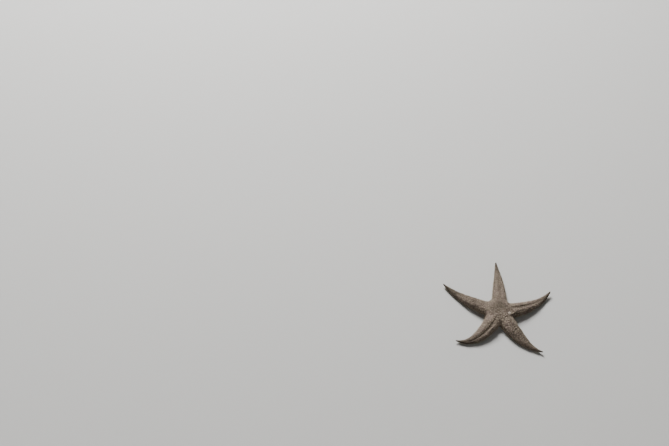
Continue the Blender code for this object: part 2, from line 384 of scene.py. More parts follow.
class NodeSheet:
    """A material's nodes, added and joined one at a time."""

    noise_roughness = 0.55

    def __init__(self, name: str) -> None:
        """Makes a material that holds only a Principled shader and its output.

        Args:
            name: The material's name.
        """
        self.material = bpy.data.materials.new(name)
        self.material.use_nodes = True
        self.tree = self.material.node_tree
        self.shader = self.tree.nodes["Principled BSDF"]

    def add(self, kind: str, settings: dict | None = None, **inputs: object) -> bpy.types.Node:
        """Adds a node.

        Args:
            kind: The node's type, without its ShaderNode prefix.
            settings: The node's own properties.
            **inputs: Values or output sockets for its inputs, by name with _ for a space.

        Returns:
            The new node.
        """
        node = self.tree.nodes.new(f"ShaderNode{kind}")
        for name, value in (settings or {}).items():
            setattr(node, name, value)
        for name, value in inputs.items():
            self.put(node.inputs[name.replace("_", " ")], value)
        return node

    def put(self, socket: bpy.types.NodeSocket, value: object) -> None:
        """Sets a socket to a value, or joins it to an output socket."""
        if isinstance(value, bpy.types.NodeSocket):
            self.tree.links.new(value, socket)
        else:
            socket.default_value = value

    def position(self) -> bpy.types.NodeSocket:
        """The piece's own coordinates, shared by all its patterns."""
        place = self.tree.nodes.get("place") or self.add("TexCoord", {"name": "place"})
        return place.outputs["Object"]

    def noise(self, size: float, detail: float = 3) -> bpy.types.NodeSocket:
        """A noise over the piece, with features of a real size in metres."""
        made = self.add("TexNoise", Vector=self.position(), Scale=1 / size, Detail=detail,
                        Roughness=self.noise_roughness)
        return made.outputs["Fac"]

    def grains(self, size: float) -> bpy.types.NodeSocket:
        """A pattern of round grains of a real size in metres, 0 at their middles."""
        made = self.add("TexVoronoi", {"feature": "SMOOTH_F1"}, Vector=self.position(), Scale=1 / size)
        return made.outputs["Distance"]

    def painted(self, name: str) -> bpy.types.NodeSocket:
        """A value stored on the mesh under this name."""
        return self.add("Attribute", {"attribute_name": name}).outputs["Fac"]

    def ramp(self, value: object, low: float, high: float) -> bpy.types.NodeSocket:
        """A value rescaled so that low to high becomes 0 to 1, held at its ends."""
        made = self.add("MapRange", {"interpolation_type": "SMOOTHSTEP"}, Value=value, From_Min=low,
                        From_Max=high)
        return made.outputs["Result"]

    def spread(self, value: object, low: float, high: float) -> bpy.types.NodeSocket:
        """A value from 0 to 1 spread over low to high."""
        return self.add("MapRange", Value=value, To_Min=low, To_Max=high).outputs["Result"]

    def patches(self, size: float, detail: float, low: float, high: float) -> bpy.types.NodeSocket:
        """Soft-edged patches of a real size: 0 where their noise is below low, 1 above high."""
        return self.ramp(self.noise(size, detail), low, high)

    def varied(self, size: float, low: float, high: float, detail: float = 3) -> bpy.types.NodeSocket:
        """A value that wanders between low and high over stretches of a real size."""
        return self.spread(self.noise(size, detail), low, high)

    def maths(self, operation: str, first: object, second: object) -> bpy.types.NodeSocket:
        """Two values joined by an arithmetic operation.

        Args:
            operation: Blender's name for it.
            first: The first value.
            second: The second value.

        Returns:
            The result's socket.
        """
        made = self.add("Math", {"operation": operation})
        self.put(made.inputs[0], first)
        self.put(made.inputs[1], second)
        return made.outputs["Value"]

    def blend(self, share: object, first: object, second: object,
              mode: str = "MIX") -> bpy.types.NodeSocket:
        """Two colours blended.

        Args:
            share: How much of the second colour shows, from 0 to 1.
            first: The colour underneath.
            second: The colour on top.
            mode: Blender's name for the way they blend.

        Returns:
            The blended colour's socket.
        """
        made = self.add("Mix", {"data_type": "RGBA", "blend_type": mode})
        for number, value in ((0, share), (6, first), (7, second)):
            self.put(made.inputs[number], value)
        return made.outputs[2]

    def stain(self, base: object, mask: object, most: float, colour: object) -> bpy.types.NodeSocket:
        """A colour laid over base as far as a mask says, and at its fullest this strongly."""
        return self.blend(self.maths("MULTIPLY", mask, most), base, colour)

    def toned(self, base: object, tone: bpy.types.NodeSocket) -> bpy.types.NodeSocket:
        """A colour made darker or paler by a tone, which leaves it as it is at 1."""
        grey = self.add("CombineColor", Red=tone, Green=tone, Blue=tone)
        return self.blend(1.0, base, grey.outputs[0], "MULTIPLY")

    def bump(self, height: object, depth: float, strength: float = 1.0,
             under: bpy.types.NodeSocket | None = None) -> bpy.types.NodeSocket:
        """A relief of a real depth in metres.

        Args:
            height: The relief's height, from 0 to 1.
            depth: What a height of 1 stands for.
            strength: How much of it shows.
            under: The normal of a coarser relief below it.

        Returns:
            The normal's socket.
        """
        made = self.add("Bump", Height=height, Distance=depth, Strength=strength)
        if under is not None:
            self.put(made.inputs["Normal"], under)
        return made.outputs["Normal"]

    def finish(self, **inputs: object) -> bpy.types.Material:
        """Sets the shader's inputs, by name with _ for a space, and returns the material."""
        for name, value in inputs.items():
            self.put(self.shader.inputs[name.replace("_", " ")], value)
        return self.material


@dataclass(frozen=True)
class PaintedArmShading:
    """A stretch of an arm made darker where its tone is below 1, mostly as painted shade, and paler where
    it is above 1, as painted light: its middle's share of the arm, its reach and its tone.
    """

    arm: str
    share: float
    reach: float
    tone: float


@dataclass(frozen=True)
class TonesAndPaintedShading:
    """The tones that skin and spines share: a darker disc, darker tips that are painted shade, painted
    shade and painted light on stretches of arm, and random clouds of tone.
    """

    plan: BodyPlan
    disc_edge: tuple[float, float] = (13.5 * MM, 18.5 * MM)
    disc_tone: float = 0.62
    # Painted shade on the arms' thin ends: darker towards the tips.
    tip_start: tuple[float, float] = (40 * MM, 68 * MM)
    tip_tone: float = 0.52
    # Tones below 1 darken stretches of arm: painted shade on the upper-left arm and the lower-left arm's
    # end, and a darker middle on the lower-right arm. Tones above 1 are painted light on the roots of the
    # lower-right and lower-left arms.
    painted_arm_shading: tuple[PaintedArmShading, ...] = (
        PaintedArmShading("upper_left", 0.50, 28 * MM, 0.86),
        PaintedArmShading("lower_right", 0.48, 30 * MM, 0.82),
        PaintedArmShading("lower_left", 0.84, 26 * MM, 0.76),
        PaintedArmShading("lower_right", 0.16, 24 * MM, 1.42),
        PaintedArmShading("lower_left", 0.16, 24 * MM, 1.28),
    )
    shade_core: float = 0.3
    cloud_size: float = 9 * MM
    cloud_edges: tuple[float, float] = (0.35, 0.65)
    cloud_tones: tuple[float, float] = (0.86, 1.14)

    def over(self, sheet: NodeSheet, colour: bpy.types.NodeSocket) -> bpy.types.NodeSocket:
        """Lays the tones, the painted shade and the painted light over a colour.

        Args:
            sheet: The material's nodes.
            colour: The colour before them.

        Returns:
            The toned colour.
        """
        far = self.away(sheet, self.plan.middle)
        tone = sheet.spread(sheet.ramp(far, *self.disc_edge), self.disc_tone, 1.0)
        # Painted shade towards the tips.
        others = [sheet.spread(sheet.ramp(far, *self.tip_start), 1.0, self.tip_tone)]
        # Painted shade and painted light on stretches of arm.
        for shade in self.painted_arm_shading:
            arm = next(arm for arm in self.plan.arms if arm.name == shade.arm)
            far = self.away(sheet, self.plan.station(arm, shade.share)[0])
            edge = sheet.ramp(far, self.shade_core * shade.reach, shade.reach)
            others.append(sheet.spread(edge, shade.tone, 1.0))
        clouds = sheet.patches(self.cloud_size, 2, *self.cloud_edges)
        others.append(sheet.spread(clouds, *self.cloud_tones))
        for other in others:
            tone = sheet.maths("MULTIPLY", tone, other)
        return sheet.toned(colour, tone)

    def away(self, sheet: NodeSheet, place: Vector) -> bpy.types.NodeSocket:
        """How far the shaded point is from a place on the body.

        Args:
            sheet: The material's nodes.
            place: The place.

        Returns:
            The distance in metres.
        """
        made = sheet.add("VectorMath", {"operation": "DISTANCE"})
        sheet.put(made.inputs[0], sheet.position())
        sheet.put(made.inputs[1], place)
        return made.outputs["Value"]


@dataclass(frozen=True)
class SkinFinish:
    """Damp rough skin: purplish brown above, straw-coloured beneath.

    The fields from blotch to grain say how strongly each of these shows: the crease, pit and grain stains
    are painted shade in the furrow, in the pits and between the grains, and the ridge stain is painted
    highlight on the ridges between the pits.
    """

    tones_and_shading: TonesAndPaintedShading
    brown: tuple = (0.150, 0.120, 0.093, 1)
    plum: tuple = (0.125, 0.092, 0.080, 1)
    # Pale: the skin's own colour on blotches and bosses, and painted highlight on the ridges between the
    # pits.
    pale: tuple = (0.290, 0.242, 0.188, 1)
    # Dark: painted shade along the crease, in the pits and between the grains.
    dark: tuple = (0.036, 0.027, 0.021, 1)
    belly: tuple = (0.400, 0.310, 0.200, 1)
    blotch: float = 0.45
    boss: float = 0.38
    painted_crease_shade: float = 0.55
    ridge: float = 0.42
    pit: float = 0.80
    grain: float = 0.45
    grain_size: float = 0.62 * MM

    def make(self) -> bpy.types.Material:
        """Builds the material from the values painted on the mesh.

        Returns:
            The material.
        """
        sheet = NodeSheet("skin")
        grains = sheet.grains(self.grain_size)
        base = sheet.blend(sheet.patches(11 * MM, 4, 0.38, 0.64), self.brown, self.plum)
        for mask, most, colour in (
            (sheet.patches(3.2 * MM, 4, 0.46, 0.70), self.blotch, self.pale),
            (sheet.painted("boss"), self.boss, self.pale),
            # Painted shade along the furrow's crease.
            (sheet.painted("painted_crease_shade"), self.painted_crease_shade, self.dark),
            # Painted highlight on the ridges between the pits.
            (sheet.painted("painted_ridge_highlight"), self.ridge, self.pale),
            # Painted shade in the pits.
            (sheet.painted("pit"), self.pit, self.dark),
            # Painted shade in the hollows between the grains.
            (sheet.ramp(grains, 0.30, 0.62), self.grain, self.dark),
        ):
            base = sheet.stain(base, mask, most, colour)
        base = self.tones_and_shading.over(sheet, base)
        edge = sheet.maths("ADD", sheet.painted("belly"), sheet.varied(2.4 * MM, -0.16, 0.16))
        base = sheet.blend(sheet.ramp(edge, 0.35, 0.75), base, self.belly)
        base = sheet.toned(base, sheet.varied(0.9 * MM, 0.78, 1.18))
        relief = sheet.bump(sheet.noise(1.3 * MM, 4), 0.25 * MM, 0.8)
        relief = sheet.bump(sheet.spread(grains, 1.0, 0.0), 0.22 * MM, 0.9, relief)
        relief = sheet.bump(sheet.noise(0.3 * MM, 2), 0.04 * MM, 0.7, relief)
        return sheet.finish(Base_Color=base, Roughness=sheet.varied(2.0 * MM, 0.50, 0.82),
                            Normal=relief, Specular_IOR_Level=0.0)


@dataclass(frozen=True)
class SpineFinish:
    """Chalky spines under a film of skin: skin-coloured at the foot, pale at the end.

    The turnover is how far up a spine its end's colour takes over, and margins say from how far
    below that to how far above it.
    """

    name: str
    tones_and_shading: TonesAndPaintedShading
    foot: tuple = (0.145, 0.110, 0.087, 1)
    end: tuple = (0.450, 0.385, 0.300, 1)
    turnover: float = 0.38
    margins: tuple[float, float] = (0.35, 0.40)
    stained: float = 0.40
    with_tones_and_shading: bool = True

    def make(self) -> bpy.types.Material:
        """Builds the material from the mesh's painted tip value.

        Returns:
            The material.
        """
        sheet = NodeSheet(self.name)
        tip = sheet.maths("ADD", sheet.painted("tip"), sheet.varied(2.5 * MM, -0.22, 0.22, 2))
        below, above = self.margins
        base = sheet.blend(sheet.ramp(tip, self.turnover - below, self.turnover + above), self.foot,
                           self.end)
        base = sheet.stain(base, sheet.patches(6 * MM, 3, 0.42, 0.66), self.stained, self.foot)
        # The shared tones, with their painted shade and painted light, unless this coat goes without
        # them.
        if self.with_tones_and_shading:
            base = self.tones_and_shading.over(sheet, base)
        relief = sheet.bump(sheet.noise(0.35 * MM, 2), 0.05 * MM, 0.8)
        return sheet.finish(Base_Color=base, Roughness=sheet.varied(1.2 * MM, 0.46, 0.70),
                            Normal=relief, Specular_IOR_Level=0.02)


@dataclass(frozen=True)
class FleshFinish:
    """Wet translucent flesh, for the tube feet and the mouth."""

    name: str
    colour: tuple = (0.62, 0.47, 0.28, 1)
    deep: tuple = (0.42, 0.26, 0.13, 1)

    def make(self) -> bpy.types.Material:
        """Builds the material.

        Returns:
            The material.
        """
        sheet = NodeSheet(self.name)
        base = sheet.blend(sheet.patches(1.4 * MM, 3, 0.35, 0.7), self.colour, self.deep)
        relief = sheet.bump(sheet.noise(0.4 * MM, 2), 0.06 * MM, 0.7)
        return sheet.finish(
            Base_Color=base, Roughness=sheet.varied(0.8 * MM, 0.22, 0.42), Normal=relief,
            Subsurface_Weight=0.35, Subsurface_Radius=(1.0, 0.5, 0.25), Subsurface_Scale=0.8 * MM,
            Coat_Weight=0.3, Coat_Roughness=0.15,
        )


@dataclass(frozen=True)
class PlateFinish:
    """The chalky sieve plate, darker in its grooves."""

    chalk: tuple = (0.500, 0.420, 0.345, 1)
    # The colour of the worn patches, and of the grooves, which are darker.
    stain: tuple = (0.170, 0.118, 0.092, 1)
    worn: float = 0.35

    def make(self) -> bpy.types.Material:
        """Builds the material from the mesh's painted groove value.

        Returns:
            The material.
        """
        sheet = NodeSheet("sieve_plate")
        base = sheet.stain(self.chalk, sheet.patches(0.9 * MM, 3, 0.45, 0.75), self.worn, self.stain)
        # Darker in the grooves, as far as the mesh's groove value says.
        base = sheet.blend(sheet.ramp(sheet.painted("groove"), 0.2, 0.9), base, self.stain)
        relief = sheet.bump(sheet.noise(0.25 * MM, 3), 0.05 * MM, 0.8)
        return sheet.finish(Base_Color=base, Roughness=sheet.varied(0.7 * MM, 0.50, 0.75), Normal=relief)


@dataclass(frozen=True)
class EyeFinish:
    """The eye-spot: a dull red cup under clear wet skin."""

    red: tuple = (0.22, 0.030, 0.018, 1)
    rim: tuple = (0.20, 0.12, 0.09, 1)

    def make(self) -> bpy.types.Material:
        """Builds the material.

        Returns:
            The material.
        """
        sheet = NodeSheet("eyespot")
        base = sheet.blend(sheet.patches(0.5 * MM, 2, 0.48, 0.72), self.red, self.rim)
        relief = sheet.bump(sheet.noise(0.2 * MM, 2), 0.03 * MM, 0.6)
        return sheet.finish(Base_Color=base, Roughness=sheet.varied(0.4 * MM, 0.18, 0.34),
                            Normal=relief, Coat_Weight=0.4, Coat_Roughness=0.10)


@dataclass(frozen=True)
class FloorFinish:
    """A plain matt studio floor."""

    pale: tuple = (0.48, 0.475, 0.46, 1)

    def make(self) -> bpy.types.Material:
        """Builds the floor's material."""
        sheet = NodeSheet("studio_floor")
        return sheet.finish(Base_Color=self.pale, Roughness=0.85, Specular_IOR_Level=0.2)


# --------------------------------------------------------------------------------------------
# Mesh helpers
# --------------------------------------------------------------------------------------------


def as_object(name: str, bm: bmesh.types.BMesh) -> bpy.types.Object:
    """Turns a bmesh into a smooth object at the origin.

    Args:
        name: The object's name.
        bm: The shape, which is freed.

    Returns:
        The new object, linked to the scene.
    """
    mesh = bpy.data.meshes.new(name)
    bm.to_mesh(mesh)
    bm.free()
    mesh.shade_smooth()
    made = bpy.data.objects.new(name, mesh)
    bpy.context.scene.collection.objects.link(made)
    return made


def as_shape(name: str, bm: bmesh.types.BMesh) -> bpy.types.Mesh:
    """Turns a bmesh into a small shape to repeat, with its own patch of the map.

    Args:
        name: The shape's name.
        bm: The shape, which is freed.

    Returns:
        The shape.
    """
    bmesh.ops.recalc_face_normals(bm, faces=bm.faces)
    layer = bm.loops.layers.uv.new(BAKE_MAP)
    for face in bm.faces:
        for loop in face.loops:
            loop[layer].uv = loop.vert.co.xy * (BAKE_PATCH / 2)
    mesh = bpy.data.meshes.new(name)
    bm.to_mesh(mesh)
    bm.free()
    return mesh


def parts_of(made: dict[str, list], kind: type) -> list:
    """The vertices, the edges or the faces among what an operator made."""
    return [part for part in made["geom"] if isinstance(part, kind)]


def open_edges(bm: bmesh.types.BMesh) -> list[bmesh.types.BMEdge]:
    """The edges round a mesh's holes."""
    return [edge for edge in bm.edges if edge.is_boundary]


def close_up(bm: bmesh.types.BMesh) -> None:
    """Fills a mesh's holes and turns its faces outwards."""
    bmesh.ops.holes_fill(bm, edges=open_edges(bm), sides=0)
    bmesh.ops.recalc_face_normals(bm, faces=bm.faces)


def ball(segments: tuple[int, int]) -> bmesh.types.BMesh:
    """A ball of unit radius.

    Args:
        segments: How many segments it has round it and from pole to pole.

    Returns:
        The ball.
    """
    bm = bmesh.new()
    bmesh.ops.create_uvsphere(bm, u_segments=segments[0], v_segments=segments[1], radius=1)
    return bm


def soften(bm: bmesh.types.BMesh, verts: list[bmesh.types.BMVert], rounds: int = 1) -> None:
    """Draws vertices halfway to their neighbours' middle, a number of times over."""
    for _ in range(rounds):
        bmesh.ops.smooth_vert(bm, verts=verts, factor=0.5, use_axis_x=True, use_axis_y=True,
                              use_axis_z=True)


def dress(piece: bpy.types.Object, material: bpy.types.Material, slot: str, *replaced: str) -> None:
    """Gives a piece its finish, hangs it under the root body and hides the solid nodes it stands for.

    Args:
        piece: The piece.
        material: Its finish.
        slot: Not used.
        *replaced: The solid nodes it stands for.
    """
    piece.data.materials.clear()
    piece.data.materials.append(material)
    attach(piece, "root")
    if replaced:
        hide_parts(*replaced)


def apply_modifier(piece: bpy.types.Object, kind: str, **settings: object) -> None:
    """Adds a modifier to a piece and applies it at once.

    Args:
        piece: The piece.
        kind: Blender's name for the modifier.
        **settings: Its properties.
    """
    modifier = piece.modifiers.new(kind.lower(), kind)
    for name, value in settings.items():
        setattr(modifier, name, value)
    bpy.context.view_layer.objects.active = piece
    bpy.ops.object.modifier_apply(modifier=modifier.name)


def combine(target: bpy.types.Object, other: bpy.types.Object, operation: str) -> None:
    """Applies a Boolean to target and removes the other object."""
    apply_modifier(target, "BOOLEAN", operation=operation, solver="EXACT", object=other)
    bpy.data.objects.remove(other)


def store(mesh: bpy.types.Mesh, name: str, values: np.ndarray) -> None:
    """Stores one number for each vertex of a mesh, for its finish to read."""
    layer = mesh.attributes.new(name, "FLOAT", "POINT")
    layer.data.foreach_set("value", values.astype(np.float32))


def vectors_of(mesh: bpy.types.Mesh, kind: str) -> np.ndarray:
    """The places or the normals of a mesh's vertices.

    Args:
        mesh: The mesh.
        kind: "co" for the places, "normal" for the normals.

    Returns:
        An array with one vertex to a row.
    """
    found = np.empty(len(mesh.vertices) * 3)
    mesh.vertices.foreach_get(kind, found)
    return found.reshape(-1, 3)


def upright_at(place: Vector, way: Vector) -> Matrix:
    """The pose of a small part that stands at a place and points a given way."""
    return Matrix.Translation(place) @ way.to_track_quat("Z", "X").to_matrix().to_4x4()


# --------------------------------------------------------------------------------------------
# Skin
# --------------------------------------------------------------------------------------------


@dataclass
class Skin:
    """The one skin over the disc and the arms, with its lumps, bosses and furrows.

    Steps are counted along a part and round it, and segments round a ball and from pole to pole.
    A turn is the angle from an arm's crest at which something stops, and a fade the stretch over
    which it does. mouth_shares give the mouth's hollow against its radius, below and above.
    """

    plan: BodyPlan
    skin_map: SkinMap
    finish: SkinFinish
    voxel: float = 0.41 * MM
    arm_steps: tuple[int, int] = (44, 40)
    groove_steps: tuple[int, int] = (30, 16)
    dome_segments: tuple[int, int] = (48, 24)
    hood_segments: tuple[int, int] = (24, 14)
    mouth_segments: int = 36
    mouth_shares: tuple[float, float] = (1.2, 0.8)
    root_start: float = 0.02
    hub_reach: float = 25 * MM
    hub_above: float = 1.5 * MM
    hub_rounds: int = 34
    boss_height: float = 0.34 * MM
    boss_radius: float = 0.95 * MM
    lump_height: float = 0.30 * MM
    lump_size: float = 3.4 * MM
    grain_height: float = 0.07 * MM
    grain_size: float = 1.1 * MM
    mesh_size: float = 1.75 * MM
    ridge_height: float = 0.13 * MM
    ridge_width: float = 0.22
    pit_depth: float = 0.32 * MM
    pit_width: float = 0.36
    rim_height: float = 0.30 * MM
    rim_width: float = 0.45 * MM
    rim_share: float = 1.12
    least_relief: float = 0.15
    crease_share: float = 1.2
    crease_turn: float = math.radians(60)
    relief_turn: float = math.radians(122)
    relief_fade: float = math.radians(16)
    belly_turn: float = math.radians(100)
    belly_fade: float = math.radians(30)
    lining_turn: float = math.radians(90)
    lining_margin: float = 0.6 * MM
    hood_ahead: float = 0.45 * MM
    hood_above: float = 1.12 * MM
    hood_size: tuple[float, float, float] = (1.75 * MM, 1.02 * MM, 0.72 * MM)
    hood_tilt: float = math.radians(10)
    piece: bpy.types.Object | None = None

    def tube(self, arm: Arm, span: tuple[float, float], counts: tuple[int, int],
             outline: Callable[[Arm, float, float], tuple[float, float]]) -> bmesh.types.BMesh:
        """Wraps a flat grid round an arm's middle line.

        Args:
            arm: The arm to follow.
            span: The shares of its length where the tube starts and ends.
            counts: How many steps it takes along the arm and round it.
            outline: Gives each section's points.

        Returns:
            The closed tube.
        """
        bm = bmesh.new()
        bmesh.ops.create_grid(bm, x_segments=counts[0], y_segments=counts[1], size=0.5)
        stations = {}
        for vert in bm.verts:
            column = round((vert.co.x + 0.5) * counts[0])
            turn = math.tau * round((vert.co.y + 0.5) * counts[1]) / counts[1]
            share = span[0] + (span[1] - span[0]) * column / counts[0]
            if column not in stations:
                stations[column] = self.plan.station(arm, share)
            place, heading = stations[column]
            across, up = outline(arm, share, turn)
            vert.co = place + right_of(heading) * across
            vert.co.z += up
        bmesh.ops.remove_doubles(bm, verts=bm.verts, dist=0.001 * MM)
        close_up(bm)
        return bm

    def dome(self) -> bmesh.types.BMesh:
        """The disc's bulge: a ball pushed out towards a cylinder, so that its top is broad.

        Returns:
            The bulge.
        """
        bm = ball(self.dome_segments)
        power = self.plan.dome_squareness
        for vert in bm.verts:
            level, rise = math.hypot(vert.co.x, vert.co.y), abs(vert.co.z)
            vert.co /= (level**power + rise**power) ** (1 / power)
        radius = self.plan.dome_radius - self.plan.coat_depth
        height = self.plan.dome_height - self.plan.coat_depth
        bmesh.ops.scale(bm, vec=(radius, radius, height), verts=bm.verts)
        bmesh.ops.translate(bm, vec=self.plan.middle, verts=bm.verts)
        return bm

    def hood(self, arm: Arm) -> bmesh.types.BMesh:
        """The rounded end plate at an arm's tip, which shelters the eye-spot under its front.

        Args:
            arm: The arm.

        Returns:
            The end plate.
        """
        bm = ball(self.hood_segments)
        pose = self.plan.at_tip(arm, self.hood_ahead, self.hood_above)
        pose = pose @ Matrix.Rotation(-self.hood_tilt, 4, "Y")
        bmesh.ops.transform(bm, matrix=pose @ Matrix.Diagonal((*self.hood_size, 1)), verts=bm.verts)
        return bm

    def solid(self) -> bpy.types.Object:
        """Joins the dome and the arms, cuts the soles level and hollows the grooves and mouth.

        Returns:
            The body.
        """
        body = as_object("skin", self.dome())
        for arm in self.plan.arms:
            limb = self.tube(arm, (self.root_start, 1.0), self.arm_steps, self.plan.section)
            combine(body, as_object("limb", limb), "UNION")
            combine(body, as_object("hood", self.hood(arm)), "UNION")
        bm = bmesh.new()
        bm.from_mesh(body.data)
        cut = bmesh.ops.bisect_plane(
            bm, geom=bm.verts[:] + bm.edges[:] + bm.faces[:], plane_co=(0, 0, self.plan.sole_gap),
            plane_no=-DOWN, clear_inner=True,
        )
        edges = [part for part in cut["geom_cut"] if isinstance(part, bmesh.types.BMEdge)]
        bmesh.ops.holes_fill(bm, edges=edges, sides=0)
        bmesh.ops.recalc_face_normals(bm, faces=bm.faces)
        bm.to_mesh(body.data)
        bm.free()
        mouth = bmesh.new()
        below, above = (share * self.plan.mouth_radius for share in self.mouth_shares)
        bmesh.ops.create_cone(mouth, cap_ends=True, segments=self.mouth_segments, radius1=below,
                              radius2=above, depth=2 * self.plan.mouth_depth)
        bmesh.ops.translate(mouth, vec=self.plan.middle, verts=mouth.verts)
        combine(body, as_object("mouth_cut", mouth), "DIFFERENCE")
        for arm in self.plan.arms:
            span = (above / arm.length, self.plan.groove_end)
            groove = self.tube(arm, span, self.groove_steps, self.plan.groove_section)
            combine(body, as_object("groove", groove), "DIFFERENCE")
        return body

    def build(self) -> bpy.types.Object:
        """Makes the smooth skin, before its relief.

        Returns:
            The skin.
        """
        self.piece = self.solid()
        apply_modifier(self.piece, "REMESH", mode="VOXEL", voxel_size=self.voxel)
        bm = bmesh.new()
        bm.from_mesh(self.piece.data)
        soften(bm, bm.verts)
        middle, floor = self.plan.middle, self.plan.sole_gap + self.hub_above
        hub = [
            vert for vert in bm.verts
            if (vert.co.xy - middle.xy).length < self.hub_reach and vert.co.z > floor
        ]
        soften(bm, hub, self.hub_rounds)
        bmesh.ops.recalc_face_normals(bm, faces=bm.faces)
        bm.to_mesh(self.piece.data)
        bm.free()
        self.piece.data.shade_smooth()
        return self.piece

    def surface(self) -> BVHTree:
        """The skin as a tree to cast rays at."""
        mesh = self.piece.data
        return BVHTree.FromPolygons([vert.co for vert in mesh.vertices],
                                    [face.vertices for face in mesh.polygons])

    def rule_at(self, found: dict[str, np.ndarray], rule: Callable[[Arm, float], float]) -> np.ndarray:
        """Works out one of the plan's rules, such as the width, at places found on the body."""
        return np.array([
            rule(self.plan.arms[int(arm)], max(0.0, float(share)))
            for arm, share in zip(found["arm"], found["share"])
        ])

    def relief(self, roots: list[Vector], plate: Vector, plate_radius: float) -> None:
        """Raises a boss under every spine, lumps between them and a rim round the sieve plate.

        Args:
            roots: The places of the spines' feet.
            plate: The middle of the sieve plate.
            plate_radius: The sieve plate's radius.
        """
        mesh = self.piece.data
        places, normals = vectors_of(mesh, "co"), vectors_of(mesh, "normal")
        found = self.skin_map.locate(places)
        turned = np.abs(found["turn"])
        outside = np.clip((self.relief_turn - turned) / self.relief_fade, 0, 1)
        belly = np.clip((turned - self.belly_turn) / self.belly_fade, 0, 1)
        tree = KDTree(len(roots))
        for index, root in enumerate(roots):
            tree.insert(root, index)
        tree.balance()
        gaps = np.array([tree.find(place)[2] for place in places])
        boss = np.exp(-((gaps / self.boss_radius) ** 2))
        lumps = np.array([noise.noise(Vector(place) / self.lump_size) for place in places])
        grains = np.array([noise.noise(Vector(place) / self.grain_size) for place in places])
        cells = np.array([noise.voronoi(Vector(place) / self.mesh_size)[0] for place in places])
        ridge = np.exp(-(((cells[:, 1] - cells[:, 0]) / self.ridge_width) ** 2)) * (1 - boss)
        pit = np.exp(-((cells[:, 0] / self.pit_width) ** 2)) * (1 - boss)
        width = self.rule_at(found, self.plan.width)
        size = np.clip(width / self.plan.full_coat, self.least_relief, 1.0)
        rise = boss * self.boss_height + lumps * self.lump_height + grains * self.grain_height
        rise += ridge * self.ridge_height - pit * self.pit_depth
        away = np.linalg.norm(places - np.array(plate[:]), axis=1)
        under = away < plate_radius
        rise[under] = np.minimum(rise[under], 0)
        rim = (away - self.rim_share * plate_radius) / self.rim_width
        rise += self.rim_height * np.exp(-(rim**2))
        moved = places + normals * (rise * outside * size)[:, None]
        mesh.vertices.foreach_set("co", moved.ravel())
        mesh.update()
        furrow = self.rule_at(found, self.plan.furrow)
        wide = size * self.plan.full_coat * self.plan.furrow_width * self.crease_share
        aside = found["across"] - width * self.rule_at(found, lambda arm, _: arm.furrow_side)
        painted_crease_shade = furrow / self.plan.furrow_depth * np.exp(-((aside / wide) ** 2))
        store(mesh, "boss", boss * outside)
        # For painted highlight on the ridges in the finish.
        store(mesh, "painted_ridge_highlight", ridge * outside)
        # For the dimples' depth, and for painted shade in the pits in the finish.
        store(mesh, "pit", pit * outside)
        store(mesh, "belly", belly)
        # For painted shade along the crease in the finish.
        store(mesh, "painted_crease_shade", painted_crease_shade * (turned < self.crease_turn))

    def unwrap(self) -> None:
        """Lays the skin out flat on its own map, arm by arm."""
        mesh = self.piece.data
        layer = mesh.uv_layers.new(name=BAKE_MAP)
        middles = self.skin_map.locate(np.array([face.center[:] for face in mesh.polygons]))
        places = vectors_of(mesh, "co")
        own = [
            SkinMap(BodyPlan(self.plan.middle, (arm,))).locate(places) for arm in self.plan.arms
        ]
        for number, face in enumerate(mesh.polygons):
            arm = int(middles["arm"][number])
            wide, deep = self.plan.groove_size(self.plan.arms[arm], max(0.0, middles["share"][number]))
            lining = (
                abs(middles["across"][number]) < wide
                and middles["up"][number] < deep + self.lining_margin
                and abs(middles["turn"][number]) > self.lining_turn
            )
            key = "lining" if lining else "turn"
            middle = middles[key][number]
            for corner in face.loop_indices:
                vertex = mesh.loops[corner].vertex_index
                turn = middle + math.remainder(own[arm][key][vertex] - middle, math.tau)
                share = own[arm]["share"][vertex]
                layer.data[corner].uv = self.skin_map.on_map(arm, share, turn, lining)

    def dress(self) -> None:
        """Gives the skin its finish and lets it stand for the disc and the arms."""
        arms = [f"arm_{arm.name}" for arm in self.plan.arms]
        dress(self.piece, self.finish.make(), "skin", "disc", *arms)


# --------------------------------------------------------------------------------------------
# Spines
# --------------------------------------------------------------------------------------------


def spine_shape(sides: int) -> bpy.types.Mesh:
    """One blunt spine, a unit high and wide, with its foot sunk below the skin.

    Args:
        sides: How many sides it has.

    Returns:
        The spine, painted with a tip value that rises from 0 to 1.
    """
    narrowing, shaft, sunk = 0.66, 0.86, 0.30
    bm = bmesh.new()
    layer = bm.verts.layers.float.new("tip")
    bmesh.ops.create_cone(bm, cap_ends=True, segments=sides, radius1=1.0, radius2=narrowing,
                          depth=shaft)
    bmesh.ops.translate(bm, verts=bm.verts, vec=(0, 0, shaft / 2))
    for shrink, rise in ((0.74, 0.10), (0.45, 0.04)):
        top = max(bm.faces, key=lambda face: face.calc_center_median().z)
        raised = bmesh.ops.extrude_face_region(bm, geom=[top])
        bmesh.ops.delete(bm, geom=[top], context="FACES_ONLY")
        verts = parts_of(raised, bmesh.types.BMVert)
        bmesh.ops.scale(bm, vec=(shrink, shrink, 1), verts=verts)
        bmesh.ops.translate(bm, vec=(0, 0, rise), verts=verts)
    for vert in bm.verts:
        vert[layer] = vert.co.z
        vert.co.z = vert.co.z * (1 + sunk) - sunk
    return as_shape("spine", bm)


def grain_shape() -> bpy.types.Mesh:
    """One round grain of unit radius, painted with a tip value that rises from 0 to 1.

    Returns:
        The grain.
    """
    bm = bmesh.new()
    layer = bm.verts.layers.float.new("tip")
    bmesh.ops.create_icosphere(bm, subdivisions=1, radius=1.0)
    for vert in bm.verts:
        vert[layer] = 0.5 + 0.5 * vert.co.z
    return as_shape("grain", bm)


